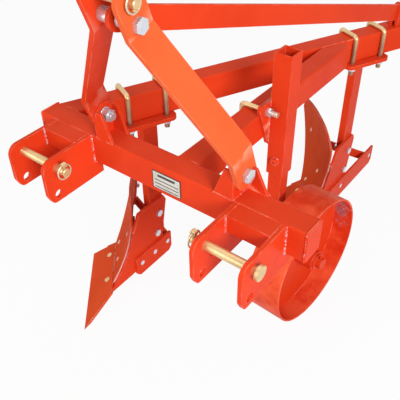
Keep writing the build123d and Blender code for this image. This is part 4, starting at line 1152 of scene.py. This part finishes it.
@dataclass
class BodyFasteners(SubAssembly):
    """U-bolts, bolts and nuts that hold the bodies together."""

    clamp_along: tuple[float, float] = (257.0, 1011.7)
    spacing: float = 109.5
    rod_r: float = 7.0
    rod_gap: float = 0.2
    tip: float = 0.8
    thread: float = 14.0

    def build(self) -> None:
        """Dress the fasteners."""
        dress_nodes(Slot.YELLOW, "clamp_u_bolts", edge=0.6, material=coat(U_BOLT_ZINC))
        dress_nodes(Slot.YELLOW, "share_and_board_bolts", edge=0.5)
        dress_nodes(Slot.ZINC, "leg_bolts", "landside_bolts", "small_nuts", "large_nuts", edge=0.9)

    def dress(self) -> None:
        """Cut the threads on the U-bolts' free ends."""
        low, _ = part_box("clamp_u_bolts")
        lean = MAIN_BEAM.lean()
        along = Vector((math.sin(lean), math.cos(lean), 0.0))
        across = Vector((-math.cos(lean), math.sin(lean), 0.0))
        start = Vector((MAIN_BEAM.start_x(), MAIN_BEAM.front_y, 0.0))
        middle = MAIN_BEAM.width / 2
        reach = middle + self.rod_r + self.rod_gap
        ends: list[Path] = []
        for clamp in self.clamp_along:
            for step in (-self.spacing / 2, self.spacing / 2):
                for side in (-reach, reach):
                    foot = (start + along * (clamp + step) + across * (middle + side)) * MM
                    foot.z = low.z + self.tip * MM
                    ends.append([foot, foot + Vector((0.0, 0.0, self.thread * MM))])
        plating = coat(U_BOLT_ZINC)
        threads = RIDGES.run("u_bolt_threads", ends, Rod_Radius=self.rod_r * MM, Material=plating)
        hand_over(threads, Body.FRAME, Slot.YELLOW)


@dataclass
class DepthWheel(SubAssembly):
    """Sleeve on the brace, sliding post and the steel wheel on its stub axle."""

    toe: float = 3.3
    wheel_r: float = 198.0
    rim_t: float = 6.0
    hub_r: float = 30.0
    wheel_out: float = 158.4
    disc_inset: float = 62.0
    disc_t: float = 6.0
    bead: float = 4.0
    ripple: float = 3.2
    bead_off: float = 0.5
    seam_angle: float = 24.0
    seam_inner: float = 3.0
    seam_outer: float = 1.0
    scorch_out: float = 123.0
    scorch_half: tuple[float, float, float] = (34.0, 105.0, 30.0)
    collar_r: float = 16.5
    collar_bead: float = 5.0
    fine_ripple: float = 3.0
    sleeve_wall: float = 5.0
    ear_t: float = 10.0
    ear_long: float = 32.0
    ear_short: float = 17.0
    ear_bead: float = 5.5
    nut_weld_r: float = 10.8
    rod_r: float = 7.0
    tip: float = 0.8
    thread_end: float = 19.5

    def axis(self) -> Vector:
        """Direction of the axle, away from the post."""
        return Vector((math.cos(math.radians(self.toe)), -math.sin(math.radians(self.toe)), 0.0))

    def centre(self, out: float) -> Vector:
        """Point on the axle.

        Args:
            out: Distance from the post's middle, in millimetres.

        Returns:
            The point, in metres.
        """
        low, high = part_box("wheel_post")
        middle = (low + high) / 2
        middle.z = self.wheel_r * MM
        return middle + self.axis() * out * MM

    def rim_point(self, angle: float, radius: float, out: float) -> Vector:
        """Point on a circle round the axle.

        Args:
            angle: Degrees up from the rearward direction.
            radius: Distance from the axle, in millimetres.
            out: Distance from the post's middle, in millimetres.

        Returns:
            The point, in metres.
        """
        rearward = UP.cross(self.axis())
        turn = math.radians(angle)
        return self.centre(out) + radius * MM * (math.cos(turn) * rearward + math.sin(turn) * UP)

    def scorched_rim(self) -> Material:
        """Rim paint with the burnt patch of its butt weld.

        Returns:
            The rim's material.
        """
        hub = self.centre(0.0)
        outward = (self.rim_point(self.seam_angle, 1.0, 0.0) - hub).normalized()
        turn = Matrix((self.axis(), self.axis().cross(outward), outward))
        middle = self.rim_point(self.seam_angle, self.wheel_r - self.rim_t, self.scorch_out)
        skin = (self.wheel_r - self.rim_t / 2) * MM
        patch = SeamScorch(middle, turn, Vector(self.scorch_half) * MM, hub, skin)
        return patch.burn(RIM_PAINT.palette())

    def build(self) -> None:
        """Dress the bracket, the post and the wheel."""
        dress_nodes(Slot.PAINT, "wheel_sleeve", edge=1.2)
        dress_nodes(Slot.PAINT, "clamp_screw_nut", edge=0.8)
        dress_nodes(Slot.YELLOW, "hook_bolts", edge=0.6)
        dress_nodes(Slot.PAINT, "clamp_screw", edge=0.4, body=Body.SCREW)
        dress_nodes(Slot.PAINT, "wheel_post", edge=1.4, body=Body.POST)
        dress_nodes(Slot.PAINT, "wheel_axle", "axle_washer", "axle_cotter", edge=0.6, body=Body.POST)
        dress_nodes(Slot.PAINT, "wheel_rim", edge=1.2, body=Body.WHEEL, material=self.scorched_rim())
        dress_nodes(Slot.PAINT, "wheel_disc", "wheel_hub", edge=0.8, body=Body.WHEEL)
        dress_nodes(Slot.BRONZE, "wheel_bushes", edge=0.3, body=Body.WHEEL)

    def dress(self) -> None:
        """Weld the wheel, the axle and the bracket, and cut the hook bolts' threads."""
        self.wheel_welds()
        low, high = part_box("wheel_post")
        face = self.centre((high.x - low.x) / 2 / MM + self.bead_off)
        collar = circle(face, Vector((1.0, 0.0, 0.0)), self.collar_r * MM, count=60)
        BEADS.lay("axle_weld", [collar], self.collar_bead, self.fine_ripple, body=Body.POST)
        self.bracket_welds()
        self.hook_threads()

    def wheel_welds(self) -> None:
        """Weld the disc to the rim and the hub, and the rim's own ends to each other."""
        disc = self.wheel_out - self.disc_inset
        inner = self.wheel_r - self.rim_t
        seams = []
        for out in (disc, disc - self.disc_t):
            seams.append(circle(self.centre(out), self.axis(), (inner - self.bead_off) * MM, count=180))
            seams.append(circle(self.centre(out), self.axis(), (self.hub_r + self.bead_off) * MM))
        butt = (disc + self.seam_inner, self.wheel_out - self.seam_outer)
        seams.append([self.rim_point(self.seam_angle, inner, out) for out in butt])
        BEADS.lay("wheel_welds", seams, self.bead, self.ripple, body=Body.WHEEL)

    def bracket_welds(self) -> None:
        """Weld the ears and the screw's nut to the sleeve."""
        post_low, post_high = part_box("wheel_post")
        low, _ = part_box("wheel_sleeve")
        wall = self.sleeve_wall * MM
        front, back = post_low.y - wall, post_high.y + wall
        face = low.x + self.ear_t * MM
        brace_low, brace_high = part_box("brace_beam")
        top, bottom = brace_high.z, brace_low.z
        long, short = self.ear_long * MM, self.ear_short * MM
        nut_low, nut_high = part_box("clamp_screw_nut")
        nut_foot = (nut_low + nut_high) / 2
        nut_foot.y = nut_high.y
        seams = [
            [Vector((face, front, top + long)), Vector((face, front, bottom - short))],
            [Vector((face, back, bottom - long)), Vector((face, back, top + short))],
            circle(nut_foot, Vector((0.0, 1.0, 0.0)), self.nut_weld_r * MM, count=48),
        ]
        # These beads carry the painted glints.
        BEADS.lay("sleeve_welds", seams, self.ear_bead, self.fine_ripple, WELD_GLINT_PAINT)

    def hook_threads(self) -> None:
        """Cut the threads on the hook bolts' free ends."""
        low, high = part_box("hook_bolts")
        radius = self.rod_r * MM
        rods = ((low.y + radius, high.z - radius), (high.y - radius, low.z + radius))
        ends = [[Vector((high.x - end * MM, y, z)) for end in (self.tip, self.thread_end)] for y, z in rods]
        threads = RIDGES.run("hook_bolt_threads", ends, Rod_Radius=radius, Material=coat(BRIGHT_ZINC))
        hand_over(threads, Body.FRAME, Slot.ZINC)


@dataclass(frozen=True)
class Lamp:
    """Soft square lamp, with its places and its side in metres and its power in watts."""

    name: str
    place: tuple[float, float, float]
    target: tuple[float, float, float]
    size: float
    power: float

    def hang(self) -> None:
        """Put the lamp into the scene."""
        data = bpy.data.lights.new(self.name, "AREA")
        data.size = self.size
        data.energy = self.power
        lamp = bpy.data.objects.new(self.name, data)
        lamp.location = self.place
        aim = Vector(self.target) - Vector(self.place)
        lamp.rotation_euler = aim.to_track_quat("-Z", "Y").to_euler()
        bpy.context.scene.collection.objects.link(lamp)


LAMPS = (
    Lamp("key", (3.2, -2.2, 2.4), (0.1, -0.3, 0.5), 1.4, 132.0),
    Lamp("front", (-1.7, -3.0, 1.3), (0.0, 0.0, 0.45), 2.4, 38.0),
    Lamp("overhead", (-0.4, 0.3, 4.0), (0.0, 0.0, 0.45), 2.6, 22.0),
)


@dataclass
class Studio:
    """Pale floor, soft light and the camera at the photograph's angle."""

    azimuth: float = 37.96
    elevation: float = 39.84
    roll: float = -1.02
    eye: tuple[float, float, float] = (838.22, -1317.88, 1460.9)
    focal_px: float = 601.93
    frame_px: float = 400.0
    sensor: float = 36.0
    sight: float = 60.0
    floor_half: float = 9.0
    floor_grey: float = 0.82
    floor_glow: float = 0.93
    sky_light: float = 0.33

    def backdrop_rays(self, bench: Bench) -> Socket:
        """Pick the rays that see the backdrop as white.

        Args:
            bench: Node tree of the floor's material or of the world.

        Returns:
            A value's socket, 1 for camera, glossy and transmission rays and 0 for the others.
        """
        rays = bench.node("ShaderNodeLightPath").outputs
        seen = rays["Is Camera Ray"]
        for kind in ("Is Glossy Ray", "Is Transmission Ray"):
            seen = bench.join("MAXIMUM", seen, rays[kind])
        return seen

    def camera(self) -> None:
        """Place the camera."""
        data = bpy.data.cameras.new("Camera")
        data.sensor_fit = "HORIZONTAL"
        data.sensor_width = self.sensor
        data.lens = self.sensor * self.focal_px / self.frame_px
        data.clip_end = self.sight
        azimuth, elevation = math.radians(self.azimuth), math.radians(self.elevation)
        level = math.cos(elevation)
        back = Vector((math.sin(azimuth) * level, -math.cos(azimuth) * level, math.sin(elevation)))
        right = (-back).cross(UP).normalized()
        up = right.cross(-back)
        roll = math.radians(self.roll)
        side = math.cos(roll) * right + math.sin(roll) * up
        over = -math.sin(roll) * right + math.cos(roll) * up
        camera = bpy.data.objects.new("Camera", data)
        turn = Matrix((side, over, back)).transposed().to_4x4()
        camera.matrix_world = Matrix.Translation(Vector(self.eye) * MM) @ turn
        bpy.context.scene.collection.objects.link(camera)
        bpy.context.scene.camera = camera

    def floor(self) -> None:
        """Lay the floor, nearly white to the camera and with a faint shadow."""
        material = bpy.data.materials.new("pale_floor")
        material.use_nodes = True
        material.node_tree.nodes.clear()
        bench = Bench(material.node_tree)
        grey = (self.floor_grey, self.floor_grey, self.floor_grey, 1.0)
        matt = bench.node("ShaderNodeBsdfDiffuse", {"Color": grey}).outputs["BSDF"]
        glow = bench.node("ShaderNodeEmission", {"Color": WHITE}).outputs["Emission"]
        share = bench.join("MULTIPLY", self.backdrop_rays(bench), self.floor_glow)
        blend = bench.node("ShaderNodeMixShader", {"Fac": share, 1: matt, 2: glow})
        bench.node("ShaderNodeOutputMaterial", {"Surface": blend.outputs["Shader"]})

        half = self.floor_half
        corners = [(-half, -half, 0.0), (half, -half, 0.0), (half, half, 0.0), (-half, half, 0.0)]
        mesh = bpy.data.meshes.new("floor")
        mesh.from_pydata(corners, [], [(0, 1, 2, 3)])
        mesh.materials.append(material)
        floor = add_object("floor", mesh)

    def sky(self) -> None:
        """Surround the scene with plain white light."""
        world = bpy.data.worlds.new("studio")
        bpy.context.scene.world = world
        world.use_nodes = True
        bench = Bench(world.node_tree)
        ground = world.node_tree.nodes["Background"].inputs
        bench.feed(ground["Color"], WHITE)
        bench.feed(ground["Strength"], bench.span(self.backdrop_rays(bench), self.sky_light, 1.0))

    def build(self) -> None:
        """Set up camera, floor, sky and lamps."""
        bpy.context.scene.view_settings.view_transform = "Standard"
        self.camera()
        self.floor()
        self.sky()
        for lamp in LAMPS:
            lamp.hang()


def main() -> None:
    """Build every sub-assembly, then the studio."""
    logging.basicConfig(level=logging.INFO, format="%(message)s")
    assemblies: list[SubAssembly] = [
        BeamFrame(),
        HitchPins(),
        DataPlate(),
        Mast(),
        PloughBody("front"),
        PloughBody("rear"),
        BodyFasteners(),
        DepthWheel(),
    ]
    for assembly in assemblies:
        assembly.build()
        assembly.dress()
    Studio().build()
    bpy.context.view_layer.update()


if __name__ == "__main__":
    main()
